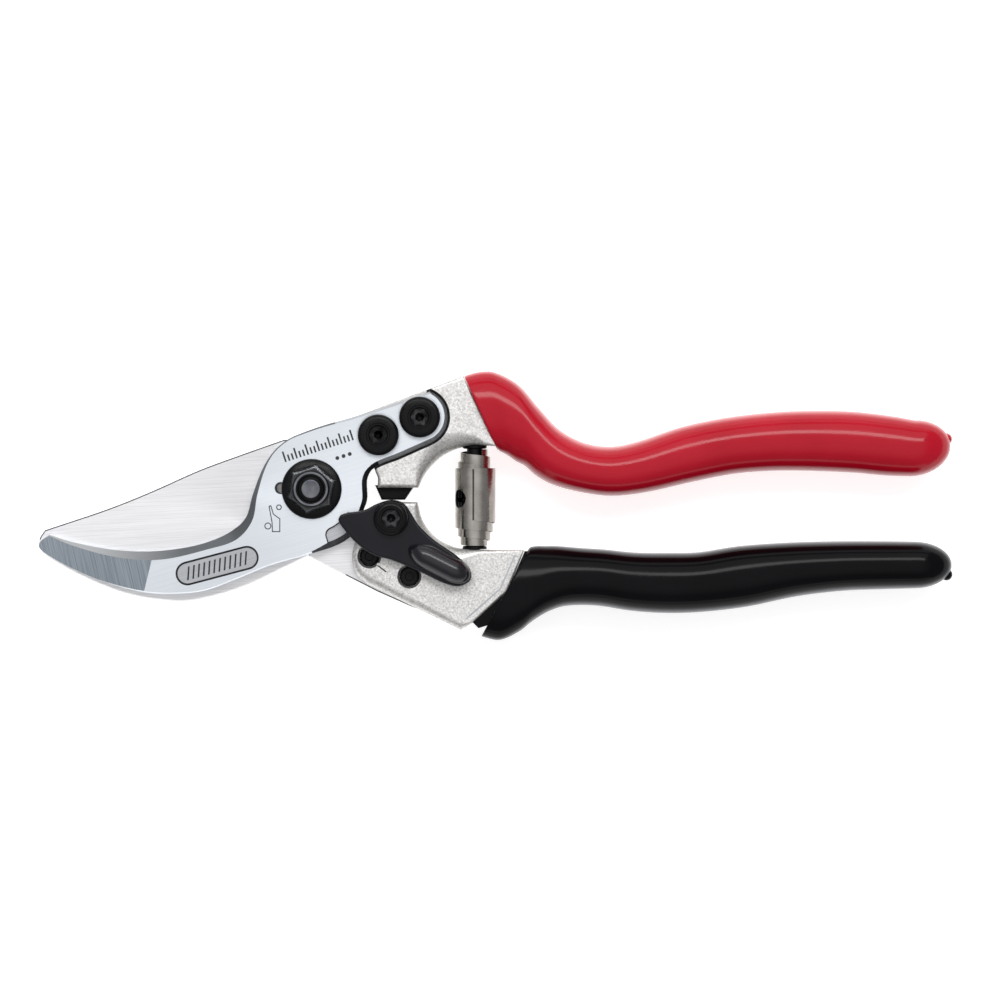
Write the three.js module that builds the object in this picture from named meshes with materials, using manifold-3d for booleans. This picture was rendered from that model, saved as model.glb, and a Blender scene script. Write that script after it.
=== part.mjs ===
// A bypass pruner: a cutting blade slides past a hooked counter blade, on two gripped aluminium handles.
// It lies closed and locked on its back, tips towards -X, with the pivot nut and the catch on top.
// The pieces are drawn around the pivot axis, which is Z. At z = 0 the two blades slide on each other.
// The whole pruner is then lifted to rest on z = 0, so the origin is the middle of the bolt head's flat face.
import * as THREE from "three";
import { mergeVertices } from "three/addons/utils/BufferGeometryUtils.js";
import Module from "manifold-3d";

const wasm = await Module();
wasm.setup();

// ---------------------------------------------------------------- driving dimensions, mm

const clearance = 0.1; // between pieces that lie on each other
const seatGap = clearance / 2; // under a screw's head or a bush
const runningFit = 0.08; // radial, between a shaft and its bore
const curveSteps = 3; // straight steps per spline point
const roundSteps = 28; // straight steps in a full circle

const hookBack = clearance / 2; // counter blade, from the shear plane forwards
const hookFront = 4.2;
const bladeFront = -clearance / 2; // cutting blade, from the shear plane backwards
const bladeBack = -3.4;

const upperHandleFront = 4.5;
const lowerHandleFront = 3.2;
const handleBack = -6.2;
const handleChamfer = 0.5;
const gripMiddle = -0.2; // height of the grips' mid-plane
const restPlane = -8.6; // the bolt head's flat face

const boltRadius = 3; // M6
const boltHeadRadius = 5.3;
const boltHeadSeat = -5.3;
const boltHeadFlats = 9; // across the two flats that hold the bolt while its nut is turned
const boltEnd = 10.9;
const bushRadius = 4.5;
const nutFlangeRadius = 6.9;
const nutFlangeFront = 5.5;
const nutCornerRadius = 10 / Math.sqrt(3); // 10 mm across flats
const nutHexFront = 9.4;
const nutFront = 10.3;
const nutBack = hookFront + clearance;

const hookScrews = [
  [15.3, 12.4],
  [24.8, 16.5],
];
const hookScrewHeadRadius = 4.7;
const hookScrewRadius = 2.4; // M5 thread
const tailRadius = 6.4; // rounded end of the counter blade's tail

const tangScrews = [
  [13.2, -15.5],
  [22.4, -20.1],
];
const tangEnd = [25.6, -21.7];
const tangRadius = 6; // rounded end of the cutting blade's tang
const tangScrewRadius = 2.15; // M4 thread
const tangScrewHeadRadius = 3.8;

const catchPivot = [18.3, -6.7];
const catchPadRadius = 4.2;
const catchPadFront = 4.3;
const leverBack = 4.6;
const leverFront = 7;
const nubFront = 10.8;
const catchBushRadius = 3;
const catchScrewRadius = 1.95; // M4 thread
const catchScrewHeadRadius = 3.85;

// The catch's tooth runs in an open track around the pivot, so that its swing clears the counter blade.
const trackInnerRadius = 10.1;
const trackOuterRadius = 16;
const trackFloor = 3.1;
const trackFromDegrees = -72.5;
const trackToDegrees = -28;
const toothRadii = [10.6, 12.3];
const toothDegrees = [-40.5, -33.5];
const toothBack = 3.4;

const springX = 37.4;
const springZ = -1.3;
const springTop = 9.1;
const springBottom = -13;
const springBandRadius = 4.95;
const springEndRadius = 3;
const springBoreRadius = 2.5;
const pinRadius = 1.8;
const pinLength = 6;
const pinSeatRadius = 2.8;
const pinSeatHeight = 0.8;
const pinStemRadius = 1.2;
const pinStemLength = 3;
const upperSeatY = 10.1;
const lowerSeatY = -13.9;

// ---------------------------------------------------------------- materials

const finish = (color, roughness, metalness) =>
  new THREE.MeshStandardMaterial({ color, roughness, metalness });
const satinSteel = finish(0xcfd4da, 0.35, 1);
const brushedSteel = finish(0xd6d4d4, 0.3, 1);
const castAluminium = finish(0xd0cfcc, 0.5, 1);
const redCoating = finish(0xc01c30, 0.25, 0);
const blackCoating = finish(0x141416, 0.25, 0);
const blackOxide = finish(0x1a1a1d, 0.4, 0.7);
const nickel = finish(0xb9b2a8, 0.3, 1);
const blackRubber = finish(0x101010, 0.8, 0);
const bronze = finish(0xb08a4a, 0.45, 1);
const paleNylon = finish(0xd8d4c4, 0.6, 0);

// ---------------------------------------------------------------- solids

// A closed three.js geometry as a solid that can be joined and cut.
function solidOf(geometry) {
  const open = geometry.index ? geometry.toNonIndexed() : geometry;
  open.deleteAttribute("normal");
  open.deleteAttribute("uv");
  const merged = mergeVertices(open, 1e-4);
  const data = new wasm.Mesh({
    numProp: 3,
    vertProperties: new Float32Array(merged.attributes.position.array),
    triVerts: new Uint32Array(merged.index.array),
  });
  return new wasm.Manifold(data);
}

// A solid back as a named mesh.
function piece(name, solid, material) {
  const data = solid.getMesh();
  const geometry = new THREE.BufferGeometry();
  geometry.setAttribute("position", new THREE.BufferAttribute(data.vertProperties, 3));
  geometry.setIndex(new THREE.BufferAttribute(data.triVerts, 1));
  geometry.computeVertexNormals();
  const mesh = new THREE.Mesh(geometry, material);
  mesh.name = name;
  return mesh;
}

// A solid with each of the holes cut out of it.
function cut(solid, holes) {
  return holes.reduce((rest, hole) => rest.subtract(hole), solid);
}

// A flat outline from a start point and steps: {line: points}, {curve: points} or {arc: [x, y, r, from, to]}.
function outline(start, ...steps) {
  const shape = new THREE.Shape();
  shape.moveTo(...start);
  for (const step of steps) {
    for (const point of step.line ?? []) shape.lineTo(...point);
    if (step.curve) shape.splineThru(step.curve.map((point) => new THREE.Vector2(...point)));
    if (step.arc) {
      const [x, y, radius, from, to] = step.arc;
      shape.absarc(x, y, radius, degrees(from), degrees(to), from > to);
    }
  }
  return shape;
}

const degrees = THREE.MathUtils.degToRad;

// A plate with the given outline between two heights, its long edges chamfered if asked.
function plate(shape, back, front, chamfer = 0) {
  const geometry = new THREE.ExtrudeGeometry(shape, {
    depth: front - back - 2 * chamfer,
    curveSegments: curveSteps,
    bevelEnabled: chamfer > 0,
    bevelThickness: chamfer,
    bevelSize: chamfer,
    bevelOffset: -chamfer,
    bevelSegments: 1,
  });
  return solidOf(geometry.translate(0, 0, back + chamfer));
}

// A disc or rod along Z.
function rod([x, y], radius, back, front, steps = roundSteps) {
  const geometry = new THREE.CylinderGeometry(radius, radius, front - back, steps);
  geometry.rotateX(Math.PI / 2);
  return solidOf(geometry.translate(x, y, (back + front) / 2));
}

// A turned piece along Z from [radius, z] points that start and end on the axis, or close on themselves.
function turned([x, y], points, steps = roundSteps) {
  const profile = points.map(([radius, z]) => new THREE.Vector2(radius, z));
  const geometry = new THREE.LatheGeometry(profile, steps);
  return solidOf(geometry.rotateX(Math.PI / 2).translate(x, y, 0));
}

// A washer or bush along Z.
function ring(centre, innerRadius, outerRadius, back, front) {
  const bore = rod(centre, innerRadius, back - 1, front + 1);
  return rod(centre, outerRadius, back, front).subtract(bore);
}

// A six-sided prism along Z, with its first corner at the given angle.
function hexagon([x, y], cornerRadius, back, front, firstCorner = 0) {
  const geometry = new THREE.CylinderGeometry(cornerRadius, cornerRadius, front - back, 6);
  geometry.rotateX(Math.PI / 2).rotateZ(firstCorner);
  return solidOf(geometry.translate(x, y, (back + front) / 2));
}

// A part of a ring around the pivot, between two angles.
function sector(innerRadius, outerRadius, fromDegrees, toDegrees, back, front) {
  const from = degrees(fromDegrees);
  const shape = outline(
    [innerRadius * Math.cos(from), innerRadius * Math.sin(from)],
    { arc: [0, 0, innerRadius, fromDegrees, toDegrees] },
    { arc: [0, 0, outerRadius, toDegrees, fromDegrees] },
  );
  return plate(shape, back, front);
}

// A bar with round ends between two points, narrower at the second.
function roundedBar(start, end, startRadius, endRadius, back, front, chamfer = 0) {
  const heading = THREE.MathUtils.radToDeg(Math.atan2(end[1] - start[1], end[0] - start[0]));
  const side = degrees(heading + 90);
  const shape = outline(
    [start[0] + startRadius * Math.cos(side), start[1] + startRadius * Math.sin(side)],
    { arc: [...start, startRadius, heading + 90, heading + 270] },
    { arc: [...end, endRadius, heading - 90, heading + 90] },
  );
  return plate(shape, back, front, chamfer);
}

// ---------------------------------------------------------------- counter blade

// The tail lies in the upper handle's recess, which has the same outline with room around it.
function tailOutline(room) {
  const radius = tailRadius + room;
  const [screwX, screwY] = hookScrews[1];
  return outline(
    [screwX + radius * Math.cos(degrees(70)), screwY + radius * Math.sin(degrees(70))],
    { line: [[8 - room, 18 + room]] },
    { line: [[8 - room, 2 - room]] },
    { line: [[13.3 + room, 2 - room]] },
    { line: [[13.3 + room, 4.4 - room]] },
    { arc: [screwX, screwY, radius, -66.6, 70] },
  );
}

function counterBladeOutline() {
  const [screwX, screwY] = hookScrews[1];
  return outline(
    [-60.3, -10.5],
    {
      curve: [
        [-54.6, -12.3],
        [-44.3, -14.1],
        [-34.6, -14.2],
        [-24.6, -12.4],
        [-18.4, -9.6],
        [-15.2, -6.6],
        [-13.6, -1.4],
        [-11.4, 4.4],
        [-9.6, 7.5],
        [-7.9, 9.5],
        [-5.1, 11.6],
        [-1.6, 13.1],
        [3, 14.7],
        [8.7, 16.3],
        [17.9, 19.3],
        [27, 22.4],
      ],
    },
    { arc: [screwX, screwY, tailRadius, 70, -66.6] },
    {
      curve: [
        [20.3, 7.5],
        [14.3, 4.9],
        [12.6, 2.6],
        [12.5, -2.5],
        [11.7, -4.8],
        [10.2, -9.2],
        [8, -11.4],
        [5.2, -13],
        [-0.7, -14.9],
        [-9.9, -17.7],
        [-17.3, -20.7],
        [-24.8, -23.4],
        [-32.7, -24.1],
        [-38.6, -23.7],
        [-48.4, -21],
        [-58.7, -16.3],
        [-62.6, -13.5],
        [-62.6, -12.4],
      ],
    },
  );
}

const oilHole = [-7.1, 0.2];
const badgeStart = [-28.5, -19.4];
const badgeEnd = [-14.9, -15.8];

function counterBlade() {
  const cutHoles = [
    rod([0, 0], boltRadius + runningFit, hookBack - 1, hookFront + 1),
    rod(oilHole, 1.1, hookBack - 1, hookFront + 1, 16),
    ...hookScrews.map((place) => rod(place, hookScrewRadius + 0.2, hookBack - 1, hookFront + 1)),
    sector(trackInnerRadius, trackOuterRadius, trackFromDegrees, trackToDegrees, trackFloor, hookFront + 1),
    roundedBar(badgeStart, badgeEnd, 2.6, 2.6, hookFront - 0.4, hookFront + 1),
  ];
  return cut(plate(counterBladeOutline(), hookBack, hookFront), cutHoles);
}

// ---------------------------------------------------------------- cutting blade

function cuttingBladeOutline() {
  return outline(
    [-61.6, -9.5],
    {
      curve: [
        [-62.9, -11.6],
        [-62.6, -14],
        [-56.2, -18.4],
        [-48.4, -22.1],
        [-41.2, -24.5],
        [-29.8, -25.8],
        [-22.3, -24.5],
        [-14.8, -22],
        [-7.4, -18.5],
        [-0.8, -15.3],
      ],
    },
    { arc: [...tangEnd, tangRadius, -116.6, 63.4] },
    { line: [[12.5, -8.4]] },
    {
      curve: [
        [11.2, -6],
        [11.4, -3],
      ],
    },
    { arc: [0, 0, 11.8, -14.7, 95] },
    { line: [[-6.7, 11.3]] },
    {
      curve: [
        [-16.6, 7.8],
        [-25.8, 4.4],
        [-37.3, -0.7],
        [-46.5, -4.4],
        [-61.6, -9.5],
      ],
    },
  );
}

function cuttingBlade() {
  const cutHoles = [
    rod([0, 0], bushRadius + 0.02, bladeBack - 1, 1),
    ...tangScrews.map((place) => rod(place, tangScrewRadius + 0.15, bladeBack - 1, 1)),
  ];
  return cut(plate(cuttingBladeOutline(), bladeBack, bladeFront), cutHoles);
}

// ---------------------------------------------------------------- grips

// Each grip is a row of cross-sections: [upper edge x, y, lower edge x, y, depth], from the mouth to the end.
const upperGripSections = [
  [35.4, 26.2, 43, 8.7, 13],
  [42.3, 26.8, 46.9, 6.4, 14.4],
  [47.6, 23.9, 49, 5.3, 15.2],
  [52.4, 18.4, 51.5, 3.1, 16],
  [62.8, 10.6, 61.6, -0.7, 16.6],
  [75.4, 11.1, 77.3, -0.7, 16.2],
  [93.8, 16.2, 96.6, 3.4, 16],
  [112.2, 18, 112.7, 4.2, 16],
  [132.9, 16.9, 132, 3.1, 15],
  [142.8, 14.9, 142.4, 3.9, 12.5],
  [146.6, 11.6, 146.4, 7.6, 4],
];
const lowerGripSections = [
  [50.1, -13.3, 38.9, -34, 13],
  [53.6, -13.1, 47.6, -32.9, 14],
  [58.9, -13.3, 54.7, -28.1, 15],
  [67.4, -13.9, 65.6, -26.9, 16.4],
  [81.9, -14.7, 81.9, -28.6, 16.6],
  [98.4, -13.1, 100.3, -27.1, 16],
  [109.9, -12.3, 111.3, -24.8, 16],
  [131.8, -12, 131.8, -23.1, 15],
  [143.3, -12.6, 143.3, -22.4, 12],
  [146.9, -15.8, 146.9, -19.4, 4],
];

// A rounded bar through a grip's cross-sections: a cylinder whose rings are laid on them one by one.
// from and to are shares of the grip's length, and shape gives each cross-section's width and depth.
function throughSections(sections, from, to, aroundSteps, alongSteps, shape) {
  const upper = new THREE.CatmullRomCurve3(sections.map((s) => new THREE.Vector3(s[0], s[1], s[4])));
  const lower = new THREE.CatmullRomCurve3(sections.map((s) => new THREE.Vector3(s[2], s[3], s[4])));
  const geometry = new THREE.CylinderGeometry(1, 1, 1, aroundSteps, alongSteps);
  const place = geometry.attributes.position;
  for (let i = 0; i < place.count; i++) {
    const along = from + (to - from) * (place.getY(i) + 0.5);
    const inside = Math.max(along, 0);
    const above = upper.getPoint(inside);
    const below = lower.getPoint(inside);
    const middle = above.clone().add(below).multiplyScalar(0.5);
    const across = below.clone().sub(middle);
    const size = shape(across.length(), above.z / 2);
    across.setLength(size.halfWidth);
    // Before the mouth the section slides straight on, towards the handle.
    const before = Math.min(along, 0) * mouthRun;
    place.setXYZ(
      i,
      middle.x + across.x * place.getX(i) + (before * across.y) / -size.halfWidth,
      middle.y + across.y * place.getX(i) + (before * across.x) / size.halfWidth,
      gripMiddle + size.halfDepth * place.getZ(i),
    );
  }
  return solidOf(geometry);
}

const mouthRun = 100; // mm of core in front of the mouth, per unit of length share
const coreWidthShare = 0.55;
const coreHalfDepth = 3.6;
const coreRoom = 0.35; // between a core and its grip
const coreEnd = 0.86;

// The tapered aluminium tongue inside a grip, with room added for the hollow that holds it.
function gripCore(sections, from, room) {
  return throughSections(sections, from, coreEnd + room / 100, 14, 16, (halfWidth) => ({
    halfWidth: halfWidth * coreWidthShare + room,
    halfDepth: coreHalfDepth + room,
  }));
}

// A dipped sleeve with a small nub at its end, and any further solids that belong to its mouth.
function grip(sections, endNub, ...mouthSolids) {
  const full = (halfWidth, halfDepth) => ({ halfWidth, halfDepth });
  const sleeve = throughSections(sections, 0, 1, 18, 24, full);
  const nub = solidOf(new THREE.SphereGeometry(2, 10, 6).translate(...endNub));
  const body = mouthSolids.reduce((solid, more) => solid.add(more), sleeve.add(nub));
  return body.subtract(gripCore(sections, -0.06, coreRoom));
}

// The lower grip's coating also fills the wedge between its flared lip and the handle's end.
function lowerMouthWedge() {
  const shape = outline([45, -23.4], {
    line: [
      [36.9, -30.6],
      [38.3, -32],
      [40.5, -31.3],
      [48, -26],
      [49.6, -15.6],
      [48.6, -15.6],
    ],
  });
  return plate(shape, handleBack + 0.4, lowerHandleFront - 0.4);
}

// ---------------------------------------------------------------- handles

function upperHandle() {
  const body = outline(
    [10.5, 16.8],
    {
      line: [
        [18.2, 19.8],
        [34.9, 26],
        [42.3, 9.9],
        [37.4, 10.2],
      ],
    },
    {
      curve: [
        [33.6, 9.4],
        [29.6, 7.4],
        [26, 3.6],
        [24.4, 0.3],
      ],
    },
    {
      line: [
        [15.2, 0.3],
        [15.2, 2.6],
      ],
    },
    { curve: [[13.9, 5.4], [10.5, 9.7]] },
  );
  const blank = plate(body, handleBack, upperHandleFront, handleChamfer);
  const recess = plate(tailOutline(0.6), 0, upperHandleFront + 1);
  const screwHoles = hookScrews.map((place) => rod(place, hookScrewRadius + 0.1, -5.2, upperHandleFront));
  const plugHole = alongY(solidRod(bufferPlugRadius + 0.1, 3.2), bufferX, 1.7, springZ);
  const withCore = blank.add(gripCore(upperGripSections, -0.05, 0));
  return cut(withCore, [recess, ...screwHoles, plugHole, pinSocket(upperSeatY, -1)]);
}

function lowerHandle() {
  const body = outline(
    [9.8, -12.4],
    {
      curve: [
        [12.4, -7.6],
        [15.6, -4],
        [18.6, -3],
      ],
    },
    { line: [[24.2, -3]] },
    {
      curve: [
        [25.5, -7.4],
        [28.5, -11.2],
        [33.2, -13.5],
        [37.4, -14],
      ],
    },
    {
      line: [
        [48.3, -14.1],
        [48.1, -15.4],
        [44.3, -23.9],
        [36.4, -30.6],
        [34.2, -32.4],
        [12.7, -21.9],
      ],
    },
    {
      curve: [
        [10.1, -19.4],
        [9.2, -15.5],
        [9.8, -12.4],
      ],
    },
  );
  const blank = plate(body, handleBack, lowerHandleFront, handleChamfer);
  const pad = rod(catchPivot, catchPadRadius, lowerHandleFront - 1, catchPadFront);
  const tangRecess = plate(tangRecessOutline(), handleBack - 1, 0);
  const screwHoles = tangScrews.map((place) => rod(place, tangScrewRadius + 0.1, -1, lowerHandleFront + 1));
  const catchHole = rod(catchPivot, catchScrewRadius + 0.1, -4.2, catchPadFront + 1);
  const withCore = blank.add(pad).add(gripCore(lowerGripSections, -0.05, 0));
  return cut(withCore, [tangRecess, ...screwHoles, catchHole, pinSocket(lowerSeatY, 1)]);
}

// The recess behind the lower handle's boss, open towards the pivot and along the blade's lower edge.
function tangRecessOutline() {
  return outline(
    [-2, -8],
    {
      line: [
        [10, -6.6],
        [16.2, -9.7],
      ],
    },
    { arc: [...tangEnd, tangRadius + 0.5, 63.4, -100] },
    {
      line: [
        [23, -33],
        [-2, -24],
      ],
    },
  );
}

// ---------------------------------------------------------------- buffer, spring and its pins

const bufferX = 19;
const bufferPlugRadius = 1.5;

// A rod along Y is made along Z first, centred on the origin.
function solidRod(radius, length) {
  return rod([0, 0], radius, -length / 2, length / 2, 20);
}

function alongY(solid, x, y, z) {
  return solid.rotate([-90, 0, 0]).translate([x, y, z]);
}

function buffer() {
  const side = outline([14.7, 0.2], { line: [[16, -2.5], [21.3, -2.5], [23.3, 0.2]] });
  const block = plate(side, springZ - 3.6, springZ + 3.6);
  return block.add(alongY(solidRod(bufferPlugRadius, 3), bufferX, 1.5, springZ));
}

// A rod on the spring's axis, from a seat's height by a length. direction is 1 towards +Y and -1 towards -Y.
function springRod(radius, length, seatY, direction) {
  return alongY(solidRod(radius, length), springX, seatY + (direction * length) / 2, springZ);
}

// A pin with a round seat. direction is 1 when its free end points to +Y, and -1 when it points to -Y.
function springPin(seatY, direction) {
  const seat = springRod(pinSeatRadius, pinSeatHeight, seatY, direction);
  const peg = springRod(pinRadius, pinLength, seatY, direction);
  const stem = springRod(pinStemRadius, pinStemLength, seatY + direction * 0.1, -direction);
  return seat.add(peg).add(stem);
}

// The hole for a pin's stem in a handle, with a flat for its seat.
function pinSocket(seatY, direction) {
  const flat = springRod(pinSeatRadius + 0.3, 1.5, seatY - direction * 0.05, direction);
  const hole = springRod(pinStemRadius + 0.1, pinStemLength + 0.3, seatY, -direction);
  return flat.add(hole);
}

// The strip spring as the stepped tube that its overlapping turns fill when it is pressed together.
function voluteSpring() {
  const turns = [
    [springEndRadius, springBottom, -11.1],
    [3.7, -11.1, -9.1],
    [springBandRadius, -9.1, 4.6],
    [4, 4.6, 5.6],
    [3.5, 5.6, 7.2],
    [springEndRadius, 7.2, springTop],
  ];
  const outside = turns.flatMap(([radius, low, high]) => [
    [radius, low],
    [radius, high],
  ]);
  const bore = [
    [springBoreRadius, springTop],
    [springBoreRadius, springBottom],
  ];
  const profile = [...outside, ...bore, outside[0]].map((point) => new THREE.Vector2(...point));
  const geometry = new THREE.LatheGeometry(profile, 24);
  return solidOf(geometry.translate(springX, 0, springZ));
}

// ---------------------------------------------------------------- fasteners

// A low domed head with a six-sided drive, and its shank. The head lies on z = 0 and faces +Z.
function domedScrew(headRadius, headHeight, shankRadius, shankLength) {
  const screw = turned([0, 0], [
    [0, -shankLength],
    [shankRadius, -shankLength],
    [shankRadius, 0],
    [headRadius, 0],
    [headRadius, headHeight * 0.35],
    [headRadius * 0.85, headHeight * 0.8],
    [headRadius * 0.55, headHeight],
    [0, headHeight],
  ]);
  return screw.subtract(hexagon([0, 0], headRadius * 0.46, headHeight * 0.35, headHeight + 1));
}

// A counter blade screw is driven from the front, into the upper handle.
function hookScrew([x, y]) {
  const screw = domedScrew(hookScrewHeadRadius, 2.2, hookScrewRadius, 9.2);
  return screw.translate([x, y, hookFront + seatGap]);
}

// A cutting blade screw is driven from the back, and its end shows in the lower handle's boss.
function tangScrew([x, y]) {
  const screw = domedScrew(tangScrewHeadRadius, 2, tangScrewRadius, 6.3);
  return screw.rotate([180, 0, 0]).translate([x, y, bladeBack - seatGap]);
}

function pivotBolt() {
  const bolt = turned([0, 0], [
    [0, restPlane],
    [4.4, restPlane],
    [boltHeadRadius, restPlane + 1.2],
    [boltHeadRadius, boltHeadSeat],
    [boltRadius, boltHeadSeat],
    [boltRadius, boltEnd - 0.8],
    [2, boltEnd],
    [0, boltEnd],
  ]);
  const between = new THREE.BoxGeometry(boltHeadFlats, 20, 40);
  return bolt.intersect(solidOf(between));
}

function pivotNut() {
  const flange = rod([0, 0], nutFlangeRadius, nutBack, nutFlangeFront);
  const body = hexagon([0, 0], nutCornerRadius, nutFlangeFront - 0.2, nutHexFront, degrees(-87));
  const collar = rod([0, 0], 4.3, nutHexFront - 0.5, nutFront);
  const bore = rod([0, 0], boltRadius + runningFit, nutBack - 1, nutFront + 1);
  const ringSeat = rod([0, 0], 3.8, 8.8, nutFront + 1);
  return flange.add(body).add(collar).subtract(bore).subtract(ringSeat);
}

// ---------------------------------------------------------------- catch

const catchWasherBack = leverFront + clearance;
const catchWasherFront = catchWasherBack + 0.5;
const catchBoreRadius = catchScrewRadius + 0.1;

function catchLever() {
  const shape = outline([6.2, -6.9], {
    curve: [
      [7.7, -5.7],
      [12.2, -4.8],
      [15, -3.4],
      [18.4, -2.5],
      [21.2, -3.3],
      [24.5, -8.1],
      [27.8, -11.4],
      [33.6, -15.5],
      [36.4, -18.4],
      [36.5, -20.8],
      [33.9, -22.3],
      [30.7, -21.7],
      [24.5, -18.8],
      [18.4, -16.3],
      [14.2, -15.1],
      [10.1, -12.2],
      [6.4, -7.7],
      [6.2, -6.9],
    ],
  });
  const blade = plate(shape, leverBack, leverFront);
  const nub = roundedBar([26, -15.5], [33.8, -19.3], 2.9, 2.5, leverFront - 0.5, nubFront, 1.2);
  const tooth = sector(...toothRadii, ...toothDegrees, toothBack, leverBack + 0.5);
  const bore = rod(catchPivot, catchBushRadius + runningFit, leverBack - 1, leverFront + 1);
  return blade.add(nub).add(tooth).subtract(bore);
}

// The bush is clamped on the handle's pad, and the lever turns on it.
function catchBush() {
  return ring(catchPivot, catchBoreRadius, catchBushRadius, catchPadFront + seatGap, leverFront + seatGap);
}

function catchSpringWasher() {
  return ring(catchPivot, catchBoreRadius, 3.6, catchWasherBack, catchWasherFront);
}

function catchScrew() {
  const [x, y] = catchPivot;
  const screw = domedScrew(catchScrewHeadRadius, 1.9, catchScrewRadius, 11.6);
  return screw.translate([x, y, catchWasherFront + seatGap]);
}

// ---------------------------------------------------------------- assembly

const boltBoreRadius = boltRadius + runningFit;
const thrustWasherBack = bladeBack - 0.9;
const springWasherBack = boltHeadSeat + clearance;

// The half with the hook, the upper handle and the pivot bolt.
const hookHalf = new THREE.Group();
hookHalf.add(
  piece("counter_blade", counterBlade(), satinSteel),
  piece("upper_handle", upperHandle(), castAluminium),
  piece("upper_grip", grip(upperGripSections, [145.5, 11.3, gripMiddle]), redCoating),
  piece("counter_blade_screw_1", hookScrew(hookScrews[0]), blackOxide),
  piece("counter_blade_screw_2", hookScrew(hookScrews[1]), blackOxide),
  piece("pivot_bolt", pivotBolt(), blackOxide),
  piece("pivot_nut", pivotNut(), blackOxide),
  piece("nut_locking_ring", ring([0, 0], boltBoreRadius, 3.7, 8.9, 10.1), paleNylon),
  piece("spring_washer", ring([0, 0], 3.2, 4.9, springWasherBack, thrustWasherBack - clearance), nickel),
  piece("thrust_washer", ring([0, 0], 3.2, 6, thrustWasherBack, bladeBack - clearance), bronze),
  piece("buffer", buffer(), blackRubber),
  piece("upper_spring_pin", springPin(upperSeatY, -1), blackOxide),
  piece("volute_spring", voluteSpring(), nickel),
);

// The half with the cutting blade and the lower handle, which turns on the pivot bolt.
const bladeHalf = new THREE.Group();
bladeHalf.add(
  piece("cutting_blade", cuttingBlade(), brushedSteel),
  piece("pivot_bush", ring([0, 0], boltBoreRadius, bushRadius, bladeBack, bladeFront), bronze),
  piece("lower_handle", lowerHandle(), castAluminium),
  piece("lower_grip", grip(lowerGripSections, [145.7, -17.7, gripMiddle], lowerMouthWedge()), blackCoating),
  piece("blade_screw_1", tangScrew(tangScrews[0]), blackOxide),
  piece("blade_screw_2", tangScrew(tangScrews[1]), blackOxide),
  piece("lower_spring_pin", springPin(lowerSeatY, 1), blackOxide),
  piece("catch_bush", catchBush(), bronze),
  piece("catch_spring_washer", catchSpringWasher(), nickel),
  piece("catch_screw", catchScrew(), blackOxide),
);

// The catch turns on the lower handle.
const catchPart = new THREE.Group();
catchPart.add(piece("catch_lever", catchLever(), blackCoating));
bladeHalf.add(catchPart);

const pruner = new THREE.Group();
pruner.add(hookHalf, bladeHalf);
pruner.position.z = -restPlane;

export default pruner;
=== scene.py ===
"""Looks of the bypass pruner: finished meshes, materials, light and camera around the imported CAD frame.

Shapes are drawn in millimetres in the CAD drawing's frame: the pivot is at (0, 0), the blades slide on
each other at z = 0, and +z points to the nut. place() turns a drawn point into a point of the frame.
"""
import math

import bmesh
import bpy
from mathutils import Matrix, Vector
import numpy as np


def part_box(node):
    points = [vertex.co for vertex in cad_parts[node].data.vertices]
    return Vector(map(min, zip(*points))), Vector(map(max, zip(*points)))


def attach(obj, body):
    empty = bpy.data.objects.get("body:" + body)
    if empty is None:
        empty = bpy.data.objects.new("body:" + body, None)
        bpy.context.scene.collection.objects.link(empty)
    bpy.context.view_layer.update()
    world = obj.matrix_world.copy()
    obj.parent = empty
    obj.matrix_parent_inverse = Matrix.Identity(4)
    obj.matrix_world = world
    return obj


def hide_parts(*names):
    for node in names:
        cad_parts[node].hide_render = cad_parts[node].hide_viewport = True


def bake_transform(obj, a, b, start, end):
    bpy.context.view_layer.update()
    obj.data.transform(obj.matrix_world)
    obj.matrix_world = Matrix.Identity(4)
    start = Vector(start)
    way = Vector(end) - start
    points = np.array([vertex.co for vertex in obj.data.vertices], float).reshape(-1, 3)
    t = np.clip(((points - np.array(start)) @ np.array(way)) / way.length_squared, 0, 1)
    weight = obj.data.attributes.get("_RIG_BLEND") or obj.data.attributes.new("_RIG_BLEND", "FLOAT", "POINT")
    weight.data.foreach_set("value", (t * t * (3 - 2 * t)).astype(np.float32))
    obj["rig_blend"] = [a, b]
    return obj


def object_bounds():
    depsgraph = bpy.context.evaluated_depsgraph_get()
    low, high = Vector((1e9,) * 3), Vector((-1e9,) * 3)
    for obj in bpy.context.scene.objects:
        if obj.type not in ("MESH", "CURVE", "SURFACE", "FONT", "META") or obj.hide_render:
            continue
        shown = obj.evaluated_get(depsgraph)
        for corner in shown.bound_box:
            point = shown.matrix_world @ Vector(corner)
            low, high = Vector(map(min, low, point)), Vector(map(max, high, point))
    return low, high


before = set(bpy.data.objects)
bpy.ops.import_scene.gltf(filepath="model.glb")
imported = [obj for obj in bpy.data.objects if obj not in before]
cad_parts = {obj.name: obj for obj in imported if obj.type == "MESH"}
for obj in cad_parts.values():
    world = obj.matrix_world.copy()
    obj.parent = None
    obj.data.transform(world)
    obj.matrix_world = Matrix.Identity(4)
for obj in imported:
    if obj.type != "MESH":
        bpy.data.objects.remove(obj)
cad_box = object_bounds()

MM = 0.001
BLADE_GAP = 0.05
SHEAR_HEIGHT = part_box("counter_blade")[0].z / MM - BLADE_GAP

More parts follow.
